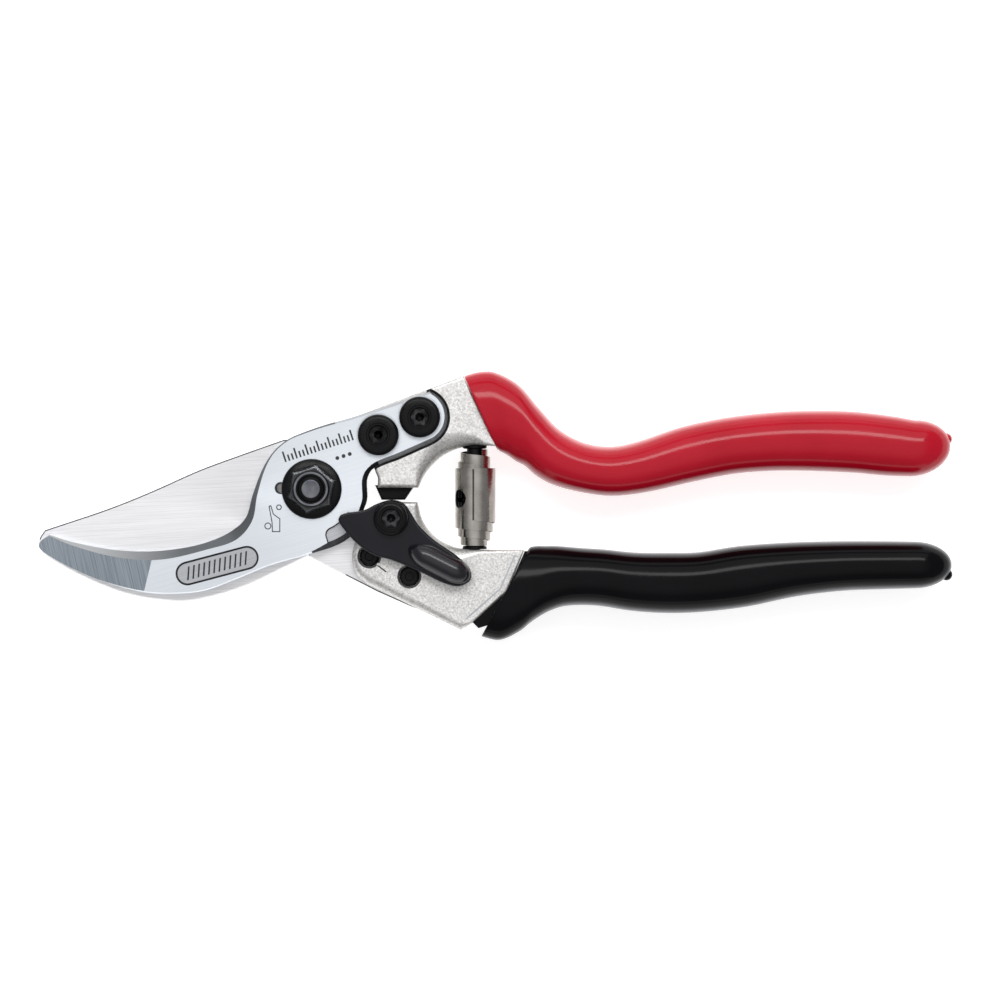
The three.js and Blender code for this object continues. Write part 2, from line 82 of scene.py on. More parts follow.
# Driving sizes in mm. Heights are measured from the plane on which the blades slide.
HOOK_FRONT = 4.2
BLADE_BACK = -3.4
HANDLE_BACK = -6.2
UPPER_FRONT = 4.5
LOWER_FRONT = 3.2
GRIP_MIDDLE = -0.2
CORNER = 0.7
BOLT_BORE = 3.08
HOOK_SCREW_HOLE = 2.6
CATCH_PIVOT = (18.3, -6.7)
HOOK_SCREWS = ((15.3, 12.4), (24.8, 16.5))
TANG_SCREWS = ((13.2, -15.5), (22.4, -20.1))
SPRING_X = 37.4
SPRING_Z = -1.3
UPPER_SEAT = 10.1
LOWER_SEAT = -13.9
BUFFER_X = 19
MARK_DEPTH = 0.16
ABOVE = 9
BELOW = -9


# ---- frame

def place(point):
    """A drawn point in mm as a point of the frame in metres."""
    return Vector((point[0], point[1], point[2] + SHEAR_HEIGHT)) * MM


def to_frame(obj):
    """Moves a piece's mesh from the drawing, in mm, to its place in the frame, in metres."""
    obj.data.transform(Matrix.Scale(MM, 4) @ Matrix.Translation((0, 0, SHEAR_HEIGHT)))


# ---- outlines

def tagged(points, tag=0.0):
    """Points (x, y) or (x, y, tag) as vectors of three; the tag is an edge's own radius or width."""
    return [Vector((p[0], p[1], p[2] if len(p) > 2 else tag)) for p in points]


def line(*points, spacing=1.2):
    """Straight runs through the points, divided about every spacing."""
    points = tagged(points)
    out = [points[0]]
    for a, b in zip(points, points[1:]):
        count = max(1, round((b - a).xy.length / spacing))
        out += [a.lerp(b, k / count) for k in range(1, count + 1)]
    return out


def curve(*points, spacing=0.8):
    """A smooth centripetal curve through the points."""
    points = tagged(points)
    ends = [2 * points[0] - points[1], *points, 2 * points[-1] - points[-2]]
    out = [points[0]]
    for a, b, c, d in zip(ends, ends[1:], ends[2:], ends[3:]):
        t0 = 0.0
        t1 = t0 + math.sqrt((b - a).xy.length)
        t2 = t1 + math.sqrt((c - b).xy.length)
        t3 = t2 + math.sqrt((d - c).xy.length)
        count = max(2, round((c - b).xy.length / spacing))
        for k in range(1, count + 1):
            t = t1 + (t2 - t1) * k / count
            ab = a * ((t1 - t) / (t1 - t0)) + b * ((t - t0) / (t1 - t0))
            bc = b * ((t2 - t) / (t2 - t1)) + c * ((t - t1) / (t2 - t1))
            cd = c * ((t3 - t) / (t3 - t2)) + d * ((t - t2) / (t3 - t2))
            abc = ab * ((t2 - t) / (t2 - t0)) + bc * ((t - t0) / (t2 - t0))
            bcd = bc * ((t3 - t) / (t3 - t1)) + cd * ((t - t1) / (t3 - t1))
            out.append(abc * ((t2 - t) / (t2 - t1)) + bcd * ((t - t1) / (t2 - t1)))
    return out


def arc(x, y, radius, start, end, tag=0.0, end_tag=None, spacing=0.6):
    """An arc from start to end, in degrees."""
    end_tag = tag if end_tag is None else end_tag
    sweep = math.radians(end - start)
    count = max(3, math.ceil(abs(sweep) * radius / spacing))
    out = []
    for k in range(count + 1):
        angle = math.radians(start) + sweep * k / count
        mix = tag + (end_tag - tag) * k / count
        out.append(Vector((x + radius * math.cos(angle), y + radius * math.sin(angle), mix)))
    return out


def outline(*runs):
    """One closed counter-clockwise outline from runs that follow each other."""
    same_point = 0.02
    points = []
    for run in runs:
        for point in run:
            if not points or (point - points[-1]).xy.length > same_point:
                points.append(point)
    if (points[0] - points[-1]).xy.length <= same_point:
        points.pop()
    area = sum(a.x * b.y - b.x * a.y for a, b in zip(points, points[1:] + points[:1]))
    if area < 0:
        points.reverse()
    return points


def around(count):
    """Angles that divide a full turn."""
    return [math.tau * k / count for k in range(count)]


def circle(x, y, radius, count=48):
    """A circle as an outline."""
    return [Vector((x + radius * math.cos(a), y + radius * math.sin(a), 0)) for a in around(count)]


def stadium(a, b, radius):
    """Two half circles round a and b, joined by straight sides."""
    a, b = Vector(a), Vector(b)
    turn = math.degrees(math.atan2((b - a).y, (b - a).x))
    near = arc(a.x, a.y, radius, turn + 90, turn + 270)
    far = arc(b.x, b.y, radius, turn - 90, turn + 90)
    return outline(near, far)


def inset(points, distances):
    """The outline moved inwards, by one distance or one for each point. Sharp corners move less."""
    if not hasattr(distances, "__len__"):
        distances = [distances] * len(points)
    sharpest = 0.6
    out = []
    for k, point in enumerate(points):
        before = (point - points[k - 1]).xy.normalized()
        after = (points[(k + 1) % len(points)] - point).xy.normalized()
        n1 = Vector((-before.y, before.x))
        n2 = Vector((-after.y, after.x))
        move = (n1 + n2) / max(sharpest, 1 + n1.dot(n2)) * distances[k]
        out.append(Vector((point.x + move.x, point.y + move.y, point.z)))
    return out


# ---- solids

def skin(name, rings, material, loop=False):
    """A closed mesh over rings of drawn points. Its ends are capped, or joined to each other if loop."""
    mesh = bmesh.new()
    rows = [[mesh.verts.new(p) for p in ring] for ring in rings]
    pairs = list(zip(rows, rows[1:]))
    if loop:
        pairs.append((rows[-1], rows[0]))
    for low, high in pairs:
        for k in range(len(low)):
            n = (k + 1) % len(low)
            mesh.faces.new((low[k], low[n], high[n], high[k]))
    if not loop:
        mesh.faces.new(list(reversed(rows[0])))
        mesh.faces.new(rows[-1])
    bmesh.ops.recalc_face_normals(mesh, faces=mesh.faces)
    data = bpy.data.meshes.new(name)
    mesh.to_mesh(data)
    mesh.free()
    data.materials.append(material)
    obj = bpy.data.objects.new(name, data)
    bpy.context.scene.collection.objects.link(obj)
    return obj


def plate(name, points, levels, material):
    """A plate from an outline. Each level is a function from a point's tag to its inset and height."""
    rings = []
    for level in levels:
        values = [level(point.z) for point in points]
        moved = inset(points, [value[0] for value in values])
        rings.append([(p.x, p.y, value[1]) for p, value in zip(moved, values)])
    return skin(name, rings, material)


def prism(name, points, low, high, material):
    """A plain plate between two heights."""
    return plate(name, points, [lambda tag: (0, low), lambda tag: (0, high)], material)


def rounded(low, high, back_radius, steps=5):
    """Levels of a plate. Each point's tag rounds the front edge, and one radius rounds the back edge."""
    quarter = [math.pi / 2 * k / steps for k in range(steps + 1)]
    back = [lambda tag, a=a: (back_radius * (1 - math.sin(a)), low + back_radius * (1 - math.cos(a)))
            for a in quarter]
    front = [lambda tag, a=a: (tag * (1 - math.cos(a)), high - tag * (1 - math.sin(a)))
             for a in quarter]
    return back + front


def turned(name, profile, centre, material, hollow=False, count=64, axis="Z"):
    """A turned piece from pairs of radius and height along Z or Y. A hollow profile is a closed loop."""
    rings = []
    for radius, height in profile:
        ring = []
        for angle in around(count):
            across = radius * math.cos(angle)
            along = radius * math.sin(angle)
            if axis == "Z":
                ring.append((centre[0] + across, centre[1] + along, centre[2] + height))
            else:
                ring.append((centre[0] + across, centre[1] + height, centre[2] - along))
        rings.append(ring)
    return skin(name, rings, material, loop=hollow)


def ring_profile(inner, outer, low, high, edge=0.15):
    """The profile of a washer or a bush with small chamfers."""
    return [(inner, low), (outer - edge, low), (outer, low + edge), (outer, high - edge),
            (outer - edge, high), (inner + edge / 2, high), (inner, high - edge / 2)]


def loft(name, sections, middle, power, material, count=48):
    """A solid through superelliptic sections, each with its top and bottom points and its depth."""
    rings = []
    for top, bottom, depth in sections:
        centre = (top + bottom) / 2
        half = (top - bottom) / 2
        ring = []
        for angle in around(count):
            u = math.copysign(abs(math.cos(angle)) ** (2 / power), math.cos(angle))
            v = math.copysign(abs(math.sin(angle)) ** (2 / power), math.sin(angle))
            ring.append((centre.x + half.x * u, centre.y + half.y * u, middle + depth / 2 * v))
        rings.append(ring)
    return skin(name, rings, material)


def bake(obj):
    """Replaces the object's mesh by what its modifiers make of it."""
    graph = bpy.context.evaluated_depsgraph_get()
    data = bpy.data.meshes.new_from_object(obj.evaluated_get(graph), depsgraph=graph)
    old = obj.data
    obj.modifiers.clear()
    obj.data = data
    data.name = obj.name
    bpy.data.meshes.remove(old)


def combine(base, tools, operation="DIFFERENCE"):
    """Cuts tools from base, or adds them to it. Cut faces take the tool's material."""
    for tool in tools:
        step = base.modifiers.new(tool.name, "BOOLEAN")
        step.operation = operation
        step.solver = "EXACT"
        step.material_mode = "TRANSFER"
        step.object = tool
    bake(base)
    for tool in tools:
        bpy.data.objects.remove(tool)


def shade(obj, angle=38):
    """Smooth shading that keeps large faces flat and edges over the angle in degrees sharp."""
    for face in obj.data.polygons:
        face.use_smooth = True
    obj.data.set_sharp_from_angle(angle=math.radians(angle))
    normals = obj.modifiers.new("normals", "WEIGHTED_NORMAL")
    normals.keep_sharp = True
    normals.weight = 60
    bake(obj)


def finish_piece(obj, body, angle=38):
    """Shades a piece and hangs it on its body. Its name without "_finished" is the CAD node's name."""
    to_frame(obj)
    shade(obj, angle)
    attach(obj, body)
    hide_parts(obj.name.removesuffix("_finished"))


# ---- materials

class Nodes:
    """Builds one material's node tree with short calls."""

    def __init__(self, name):
        self.material = bpy.data.materials.new(name)
        self.material.use_nodes = True
        self.tree = self.material.node_tree
        self.shader = self.tree.nodes["Principled BSDF"]
        self.coords = self.tree.nodes.new("ShaderNodeTexCoord").outputs["Object"]

    def link(self, source, target):
        """Joins an output to an input."""
        self.tree.links.new(source, target)

    def set(self, **values):
        """Sets inputs of the shader, with _ for a space in a name."""
        for key, value in values.items():
            self.shader.inputs[key.replace("_", " ")].default_value = value

    def stretched(self, scale, turn=0.0):
        """Object coordinates scaled along the axes, after a turn in degrees about Z."""
        node = self.tree.nodes.new("ShaderNodeMapping")
        node.vector_type = "TEXTURE"
        node.inputs["Rotation"].default_value = (0, 0, math.radians(turn))
        node.inputs["Scale"].default_value = [1 / part for part in scale]
        self.link(self.coords, node.inputs["Vector"])
        return node.outputs["Vector"]

    def noise(self, vector, scale, detail=3.0, roughness=0.55):
        """A noise value at coordinates."""
        node = self.tree.nodes.new("ShaderNodeTexNoise")
        node.inputs["Scale"].default_value = scale
        node.inputs["Detail"].default_value = detail
        node.inputs["Roughness"].default_value = roughness
        self.link(vector, node.inputs["Vector"])
        return node.outputs["Fac"]

    def ramp(self, value, low, high, from_low=0.3, from_high=0.7):
        """Maps a value to a range of numbers."""
        node = self.tree.nodes.new("ShaderNodeMapRange")
        node.inputs["From Min"].default_value = from_low
        node.inputs["From Max"].default_value = from_high
        node.inputs["To Min"].default_value = low
        node.inputs["To Max"].default_value = high
        self.link(value, node.inputs["Value"])
        return node.outputs["Result"]

    def colour(self, value, low, high, from_low=0.3, from_high=0.7):
        """Maps a value to a colour between two."""
        node = self.tree.nodes.new("ShaderNodeValToRGB")
        node.color_ramp.elements[0].position = from_low
        node.color_ramp.elements[1].position = from_high
        node.color_ramp.elements[0].color = (*low, 1)
        node.color_ramp.elements[1].color = (*high, 1)
        self.link(value, node.inputs["Fac"])
        return node.outputs["Color"]

    def rim(self, body, pale):
        """Paints a highlight on the rim: fades a colour to a paler one where the surface turns away from the
        viewer.
        """
        facing = self.tree.nodes.new("ShaderNodeLayerWeight")
        facing.inputs["Blend"].default_value = 0.5
        mix = self.tree.nodes.new("ShaderNodeMix")
        mix.data_type = "RGBA"
        mix.inputs["B"].default_value = (*pale, 1)
        self.link(self.ramp(facing.outputs["Facing"], 0.0, 0.8, 0.5, 1.0), mix.inputs["Factor"])
        self.link(body, mix.inputs["A"])
        return mix.outputs["Result"]

    def bump(self, height, distance, strength=1.0):
        """Makes the surface uneven by a value, with the distance in mm."""
        node = self.tree.nodes.new("ShaderNodeBump")
        node.inputs["Distance"].default_value = distance * MM
        node.inputs["Strength"].default_value = strength
        self.link(height, node.inputs["Height"])
        self.link(node.outputs["Normal"], self.shader.inputs["Normal"])

    def finish(self, colour, roughness):
        """Connects the colour and the roughness, and gives the material."""
        self.link(colour, self.shader.inputs["Base Color"])
        self.link(roughness, self.shader.inputs["Roughness"])
        return self.material


def ground_steel(name, dark, light, turn, rough, depth=0.004):
    """Steel with fine grinding lines that run at a turn from X."""
    nodes = Nodes(name)
    nodes.set(Metallic=1.0)
    lines = nodes.noise(nodes.stretched((60, 6500, 900), turn), 1.0, 4, 0.65)
    cloud = nodes.noise(nodes.stretched((90, 160, 90), turn), 1.0, 2)
    nodes.bump(lines, depth)
    nodes.link(nodes.ramp(cloud, 0.2, 0.35), nodes.shader.inputs["Anisotropic"])
    return nodes.finish(nodes.colour(lines, dark, light), nodes.ramp(lines, rough + 0.06, rough - 0.05))


def hook_bevel_painted_reflection():
    """The hook's ground inner bevel, with a painted reflection that is dark at the throat and lighter
    towards the tip.
    """
    nodes = Nodes("bevel_painted_reflection")
    nodes.set(Metallic=1.0, Roughness=0.36)
    lines = nodes.noise(nodes.stretched((90, 4200, 900), 20), 1.0, 3)
    split = nodes.tree.nodes.new("ShaderNodeSeparateXYZ")
    nodes.link(nodes.coords, split.inputs["Vector"])
    # Painted reflection: the colour darkens along X from the tip to the throat.
    along = nodes.ramp(split.outputs["X"], 0.0, 1.0, -0.050, -0.026)
    mixed = nodes.tree.nodes.new("ShaderNodeMath")
    mixed.operation = "MULTIPLY_ADD"
    mixed.inputs[1].default_value = 0.12
    nodes.link(lines, mixed.inputs[0])
    nodes.link(along, mixed.inputs[2])
    colour = nodes.colour(mixed.outputs["Value"], (0.46, 0.47, 0.48), (0.15, 0.16, 0.17), 0.0, 0.9)
    nodes.bump(lines, 0.006)
    nodes.link(colour, nodes.shader.inputs["Base Color"])
    return nodes.material


def blasted_aluminium():
    """Matt blasted aluminium with a fine grain."""
    nodes = Nodes("cast_aluminium")
    nodes.set(Metallic=0.85)
    grain = nodes.noise(nodes.coords, 2100, 2, 0.7)
    cloud = nodes.noise(nodes.coords, 160, 3)
    nodes.bump(grain, 0.05, 0.8)
    return nodes.finish(nodes.colour(grain, (0.50, 0.49, 0.475), (0.90, 0.89, 0.87)),
                        nodes.ramp(cloud, 0.42, 0.52))


def coating(name, dark, light, rough, gloss, wave=0.02, rim=None):
    """Dipped vinyl or paint: a soft colour drift, a faint orange-peel surface and, if asked, a painted pale
    rim highlight.
    """
    nodes = Nodes(name)
    nodes.set(Specular_IOR_Level=gloss)
    drift = nodes.noise(nodes.coords, 60, 2)
    peel = nodes.noise(nodes.coords, 420, 2)
    nodes.bump(peel, wave, 0.5)
    body = nodes.colour(drift, dark, light)
    if rim:
        body = nodes.rim(body, rim)
    return nodes.finish(body, nodes.ramp(drift, rough, rough + 0.05))


def dark_metal(name, dark, light, rough, metallic=0.6, gloss=0.5, depth=0.012):
    """Blackened or plated metal with a fine random tooth."""
    nodes = Nodes(name)
    nodes.set(Metallic=metallic, Specular_IOR_Level=gloss)
    tooth = nodes.noise(nodes.coords, 1500, 3)
    cloud = nodes.noise(nodes.coords, 260, 2)
    nodes.bump(tooth, depth, 0.6)
    return nodes.finish(nodes.colour(cloud, dark, light), nodes.ramp(tooth, rough, rough + 0.12))


def plain_floor():
    """A pale studio floor, lifted a little so that it stays near white."""
    nodes = Nodes("pale_floor")
    speck = nodes.noise(nodes.coords, 30, 2)
    nodes.set(Specular_IOR_Level=0.1)
    nodes.shader.inputs["Emission Color"].default_value = (1, 1, 1, 1)
    nodes.shader.inputs["Emission Strength"].default_value = 0.75
    return nodes.finish(nodes.colour(speck, (0.62, 0.62, 0.62), (0.64, 0.64, 0.64)),
                        nodes.ramp(speck, 0.6, 0.65))


SATIN = ground_steel("satin_steel", (0.70, 0.735, 0.78), (0.80, 0.835, 0.875), 16, 0.34)
BEVEL_REFLECTION_STEEL = hook_bevel_painted_reflection()
# Painted shade: a grey steel, darker than the satin face, for the tail's bevels, pocket floors and sunk
# lines.
RECESS_SHADE_STEEL = ground_steel("recess_shade_steel", (0.42, 0.43, 0.45), (0.55, 0.56, 0.58), 20, 0.36)
# Painted shade: near-black steel for the throat and lower tail bevels, the ledge, the tail's gap and the
# blade's chamfer.
SHADE_STEEL = ground_steel("painted_shade_steel", (0.03, 0.03, 0.033), (0.07, 0.07, 0.075), 90, 0.4)
TIP_STEEL = ground_steel("tip_steel", (0.15, 0.18, 0.21), (0.38, 0.42, 0.46), 103, 0.40, 0.012)
BRUSHED = ground_steel("brushed_steel", (0.66, 0.655, 0.665), (0.89, 0.885, 0.89), 3, 0.38, 0.008)
EDGE_STEEL = ground_steel("edge_steel", (0.80, 0.80, 0.79), (0.92, 0.92, 0.91), 12, 0.30)
CAST = blasted_aluminium()
# Dark for the engraved marks and the scratch, and painted shade in the oil hole, the band round the catch
# pocket and the spring's seams.
ENGRAVED_AND_SHADE = dark_metal("engraved_and_painted_shade", (0.02, 0.021, 0.024), (0.05, 0.05, 0.055), 0.5, 0.2)
# The red and black grips carry a painted rim highlight.
RED = coating("red_coating", (0.43, 0.003, 0.015), (0.49, 0.005, 0.021), 0.13, 0.26,
              rim=(0.95, 0.35, 0.36))
BLACK = coating("black_coating", (0.0015, 0.0015, 0.002), (0.003, 0.003, 0.004), 0.13, 0.11,
                rim=(0.25, 0.26, 0.28))
LEVER_BLACK = coating("black_lever", (0.006, 0.006, 0.009), (0.011, 0.011, 0.015), 0.22, 0.22, 0.01)
OXIDE = dark_metal("black_oxide", (0.0025, 0.0025, 0.003), (0.006, 0.006, 0.007), 0.24, 0.0, 0.16)
# Painted light: a lighter, glossier copy of the black oxide for the nut's hexagon.
NUT_OXIDE_LIT = dark_metal("nut_oxide_painted_light", (0.006, 0.006, 0.007), (0.014, 0.014, 0.016), 0.2, 0.0, 0.6, 0.002)
NUB_BLACK = coating("nub_black", (0.006, 0.006, 0.009), (0.011, 0.011, 0.015), 0.18, 0.5, 0.004)
SOCKET = dark_metal("socket_floor", (0.008, 0.008, 0.009), (0.08, 0.08, 0.085), 0.16, 1.0)
# The bolt end's lighter steel, also a painted highlight on the nut's collar.
BOLT_END_AND_HIGHLIGHT = dark_metal("bolt_end_and_painted_highlight", (0.09, 0.095, 0.11), (0.20, 0.205, 0.22), 0.35, 0.9)
NICKEL = dark_metal("nickel", (0.33, 0.31, 0.285), (0.47, 0.445, 0.41), 0.17, 1.0, 0.5, 0.003)
BRONZE = dark_metal("bronze", (0.42, 0.26, 0.10), (0.52, 0.34, 0.15), 0.34, 1.0)
RUBBER = coating("black_rubber", (0.002, 0.002, 0.002), (0.005, 0.005, 0.005), 0.45, 0.12, 0.03)


# ---- blades

# The third number of a point is the width of the bevel there.
COUNTER_BLADE = outline(
    curve((-60.3, -10.5, 1.1), (-54.6, -12.3, 1.4), (-44.3, -14.1, 1.9), (-34.6, -14.2, 2.0),
          (-24.6, -12.4, 1.6), (-18.4, -9.6, 2.3), (-15.2, -6.6, 1.7), (-13.6, -1.4, 1.1),
          (-11.4, 4.4, 0.6), (-9.6, 7.5, 0.35), (-7.9, 9.5, 0.3), (-5.1, 11.6, 0.3), (-1.6, 13.1, 0.35),
          (3, 14.7, 0.4), (8.7, 16.3, 0.5), (17.9, 19.3, 0.6), (24, 21.4, 0.6), (27, 22.3, 0.5)),
    arc(24.8, 16.5, 6.4, 70, -66.6, 0.5, 0.9),
    curve((27.3, 10.6, 0.9), (20.3, 7.5, 0.9), (14.3, 4.9, 0.9), (12.8, 2.6, 1.1), (12.7, -2.5, 1.1),
          (11.9, -4.8, 1.0), (10.4, -9.2, 1.3), (8.2, -11.5, 1.5), (5.3, -13.1, 1.5), (-0.7, -15.0, 0.35),
          (-9.9, -17.7, 0.35), (-17.3, -20.7, 0.3), (-24.8, -23.4, 0.3), (-32.7, -24.1, 0.3),
          (-38.6, -23.7, 0.3), (-48.4, -21, 0.3), (-58.7, -16.3, 0.3), (-62.6, -13.5, 0.4),
          (-62.6, -12.4, 0.6), (-60.3, -10.5, 1.1)))

# The third number of a point is the width of the ground edge at the back.
CUTTING_BLADE = outline(
    curve((-61.6, -9.5, 0.4), (-62.9, -11.6, 1.5), (-62.6, -14, 3), (-56.2, -18.4, 6), (-48.4, -22.1, 7),
          (-41.2, -24.5, 7), (-29.8, -25.8, 7), (-22.3, -24.5, 7), (-14.8, -22, 6), (-7.4, -18.5, 3),
          (-0.8, -15.3, 0.4)),
    line((-0.8, -15.5, 0.4), (15, -23.6, 0.4), (22.9, -27.1, 0.4)),
    arc(25.6, -21.7, 6, -116.6, 63.4, 0.4),
    line((28.3, -16.3, 0.4), (12.5, -8.4, 0.4)),
    curve((12.5, -8.4, 0.4), (11.2, -6, 0.4), (11.4, -3, 0.4)),
    arc(0, 0, 11.8, -14.7, 95, 0.4),
    line((-1.3, 11.73, 0.4), (-6.7, 11.3, 0.4)),
    curve((-6.7, 11.3, 0.4), (-16.6, 7.8, 0.4), (-25.8, 4.4, 0.4), (-37.3, -0.7, 0.4),
          (-46.5, -4.4, 0.4), (-61.6, -9.5, 0.4)))


def drilled(x, y, radius, material, count=48):
    """A cutter for a round hole through a blade or a handle."""
    return prism("drilled", circle(x, y, radius, count), BELOW, ABOVE, material)


def sunk(points, floor, material=ENGRAVED_AND_SHADE):
    """A cutter from a floor up through the front."""
    return prism("sunk", points, floor, ABOVE, material)


def engraved_line(points, width, floor):
    """A cutter for a line of the given width just inside an outline."""
    inner = inset(points, width)
    rings = [[(p.x, p.y, z) for p in ring] for ring, z in
             ((points, floor), (points, ABOVE), (inner, ABOVE), (inner, floor))]
    return skin("engraved_line", rings, ENGRAVED_AND_SHADE, loop=True)


def tick_scale():
    """Cutters for a row of short and long strokes and three dots, both along the hook's upper edge."""
    floor = HOOK_FRONT - MARK_DEPTH
    slope = math.radians(18)
    along = Vector((math.cos(slope), math.sin(slope)))
    up = Vector((-along.y, along.x))
    half = along * 0.2
    marks = []
    for k in range(19):
        foot = Vector((-5.9, 6.2)) + along * (0.9 * k)
        tall = up * (2.5 if k % 3 == 0 else 1.5)
        corners = [foot - half, foot + half, foot + half + tall, foot - half + tall]
        marks.append(sunk(tagged(corners), floor))
    for k in range(3):
        spot = Vector((5.9, 7.1)) + along * (1.5 * k)
        marks.append(sunk(circle(spot.x, spot.y, 0.45, 16), floor))
    return marks


def oil_sign():
    """Cutters for a plain oil can with a ring and a drop, beside the oil hole."""
    floor = HOOK_FRONT - MARK_DEPTH
    can = outline(line((-9.9, -3.9), (-9.3, -3.7), (-8.7, -5.7), (-7.2, -6.8), (-7.2, -9.9), (-9.1, -9.9),
                       (-9.2, -7.6), (-9.9, -3.9)))
    drop = circle(-7.5, -4.2, 0.65, 24)
    ring = circle(-10.05, -8.5, 0.8, 24)
    return [engraved_line(drop, 0.24, floor), engraved_line(can, 0.22, floor),
            engraved_line(ring, 0.22, floor)]


def pocket(inner, outer, first, last, corner):
    """An outline between two radii and two angles round the pivot, with one round inner corner."""
    middle = inner + corner
    turn = first + math.degrees(math.asin(corner / middle))
    x = middle * math.cos(math.radians(turn))
    y = middle * math.sin(math.radians(turn))
    return outline(arc(0, 0, outer, first, last), arc(0, 0, inner, last, turn),
                   arc(x, y, corner, turn + 180, turn + 270, spacing=0.2))


def ribbed_oval():
    """Cutters for a shallow oval with a deeper line round it and slanted strokes in its floor."""
    a, b = Vector((-28.5, -19.4)), Vector((-14.9, -15.8))
    floor = HOOK_FRONT - 0.25
    tools = [engraved_line(stadium(a, b, 2.75), 0.45, floor - 0.4),
             # The oval's floor is grey: painted shade.
             sunk(stadium(a, b, 2.35), floor, RECESS_SHADE_STEEL)]
    along = (b - a).normalized()
    side = Vector((-along.y, along.x))
    half = along * 0.2
    reach = side * 1.5 + along * 0.5
    for k in range(12):
        spot = a + along * (0.2 + 1.24 * k)
        corners = [spot - reach - half, spot - reach + half, spot + reach + half, spot + reach - half]
        tools.append(sunk(tagged(corners), floor - 0.25))
    return tools


def tip_facet():
    """The ground tip's cutter: its plane starts at a line across the hook and falls towards the tip."""
    fall = 1.1
    rings = []
    for start in (Vector((-36.2, -14.2)), Vector((-39.0, -25.6))):
        end = start + Vector((-32, 7.9))
        rings.append([(start.x, start.y, HOOK_FRONT), (end.x, end.y, HOOK_FRONT - fall),
                      (end.x, end.y, ABOVE), (start.x, start.y, ABOVE)])
    return skin("tip_facet", rings, TIP_STEEL)


def bevel_material(face):
    """The index of the hook's material for a face: satin steel, the ground bevel with its painted
    reflection, near-black painted shade at the throat and the lower tail, and grey painted shade on the
    tail's other bevels.
    """
    x, y = face.center.x, face.center.y
    satin, bevel, dark, recess = range(4)
    if not 0.1 < face.normal.z < 0.99:
        return satin
    # Painted shade: near-black at the throat and along the lower tail.
    throat = 10.5 < x < 15.5 and -6 < y < 6.5
    if throat or (x > 0 and y < -6):
        return dark
    # Painted shade: grey on the tail's other bevels. Bevels that face -y stay satin, the rest take the
    # bevel's painted reflection.
    if x > 5:
        return recess
    return satin if face.normal.y < -0.05 else bevel


def counter_blade():
    """The hook with its bevels, ground tip, catch pocket, oil hole, screw seats and marks."""
    slope = 0.9
    levels = [lambda tag: (0.25, BLADE_GAP), lambda tag: (0, BLADE_GAP + 0.25),
              lambda tag: (0, HOOK_FRONT - slope * tag - 0.1), lambda tag: (tag, HOOK_FRONT)]
    blade = plate("counter_blade_finished", COUNTER_BLADE, levels, SATIN)
    # The bevel faces take a painted reflection and painted shade from bevel_material.
    for material in (BEVEL_REFLECTION_STEEL, SHADE_STEEL, RECESS_SHADE_STEEL):
        blade.data.materials.append(material)
    for face in blade.data.polygons:
        face.material_index = bevel_material(face)
    track = pocket(10.1, 12.75, -72.5, -32.5, 1.5)
    edge = pocket(9.82, 13.0, -73.8, -32, 1.75)
    ledge = outline(arc(0, 0, 16.2, -72.5, -31.3), arc(0, 0, 12.5, -31.3, -72.5))
    oil_hole = (-7.1, 0.2)
    screw_seat = 4.98
    # Painted shade: the oil hole and its seat, the band round the catch pocket and the ledge are dark, and
    # the pocket's floor is grey.
    holes = [drilled(0, 0, BOLT_BORE, SATIN), drilled(*oil_hole, 1.1, ENGRAVED_AND_SHADE, 32),
             sunk(circle(*oil_hole, 1.4, 32), HOOK_FRONT - 0.3), sunk(edge, HOOK_FRONT - 0.6),
             sunk(ledge, HOOK_FRONT - 1.0, SHADE_STEEL), sunk(track, HOOK_FRONT - 1.1, RECESS_SHADE_STEEL),
             tip_facet()]
    for x, y in HOOK_SCREWS:
        holes.append(drilled(x, y, HOOK_SCREW_HOLE, SATIN))
        holes.append(sunk(circle(x, y, screw_seat), HOOK_FRONT - 0.25, SATIN))
    combine(blade, holes)
    combine(blade, tick_scale() + oil_sign() + ribbed_oval())
    finish_piece(blade, "hook_half", 20)


def cutting_blade():
    """The wide blade with its ground edge at the back, a thin front chamfer with painted shade along the
    blade's back and the tang, and its bores.
    """
    grind = 0.4
    levels = [lambda tag: (tag, BLADE_BACK), lambda tag: (0.02, min(BLADE_BACK + tag * grind, -0.45)),
              lambda tag: (0, -0.35), lambda tag: (0.27, -BLADE_GAP)]
    blade = plate("cutting_blade_finished", CUTTING_BLADE, levels, BRUSHED)
    blade.data.materials.append(EDGE_STEEL)
    blade.data.materials.append(SHADE_STEEL)
    for face in blade.data.polygons:
        # Painted shade: the front chamfer turns dark along the tang and the blade's back.
        shaded_side = face.center.x > 8 or (face.center.y > -12 and face.center.x < 0)
        if -0.99 < face.normal.z < -0.5:
            face.material_index = 1
        elif 0.05 < face.normal.z < 0.9 and shaded_side:
            face.material_index = 2
    bush_bore = 4.55
    tang_holes = [drilled(x, y, 2.3, BRUSHED, 32) for x, y in TANG_SCREWS]
    combine(blade, [drilled(0, 0, bush_bore, BRUSHED), *tang_holes])
    finish_piece(blade, "blade_half", 20)


# ---- handles

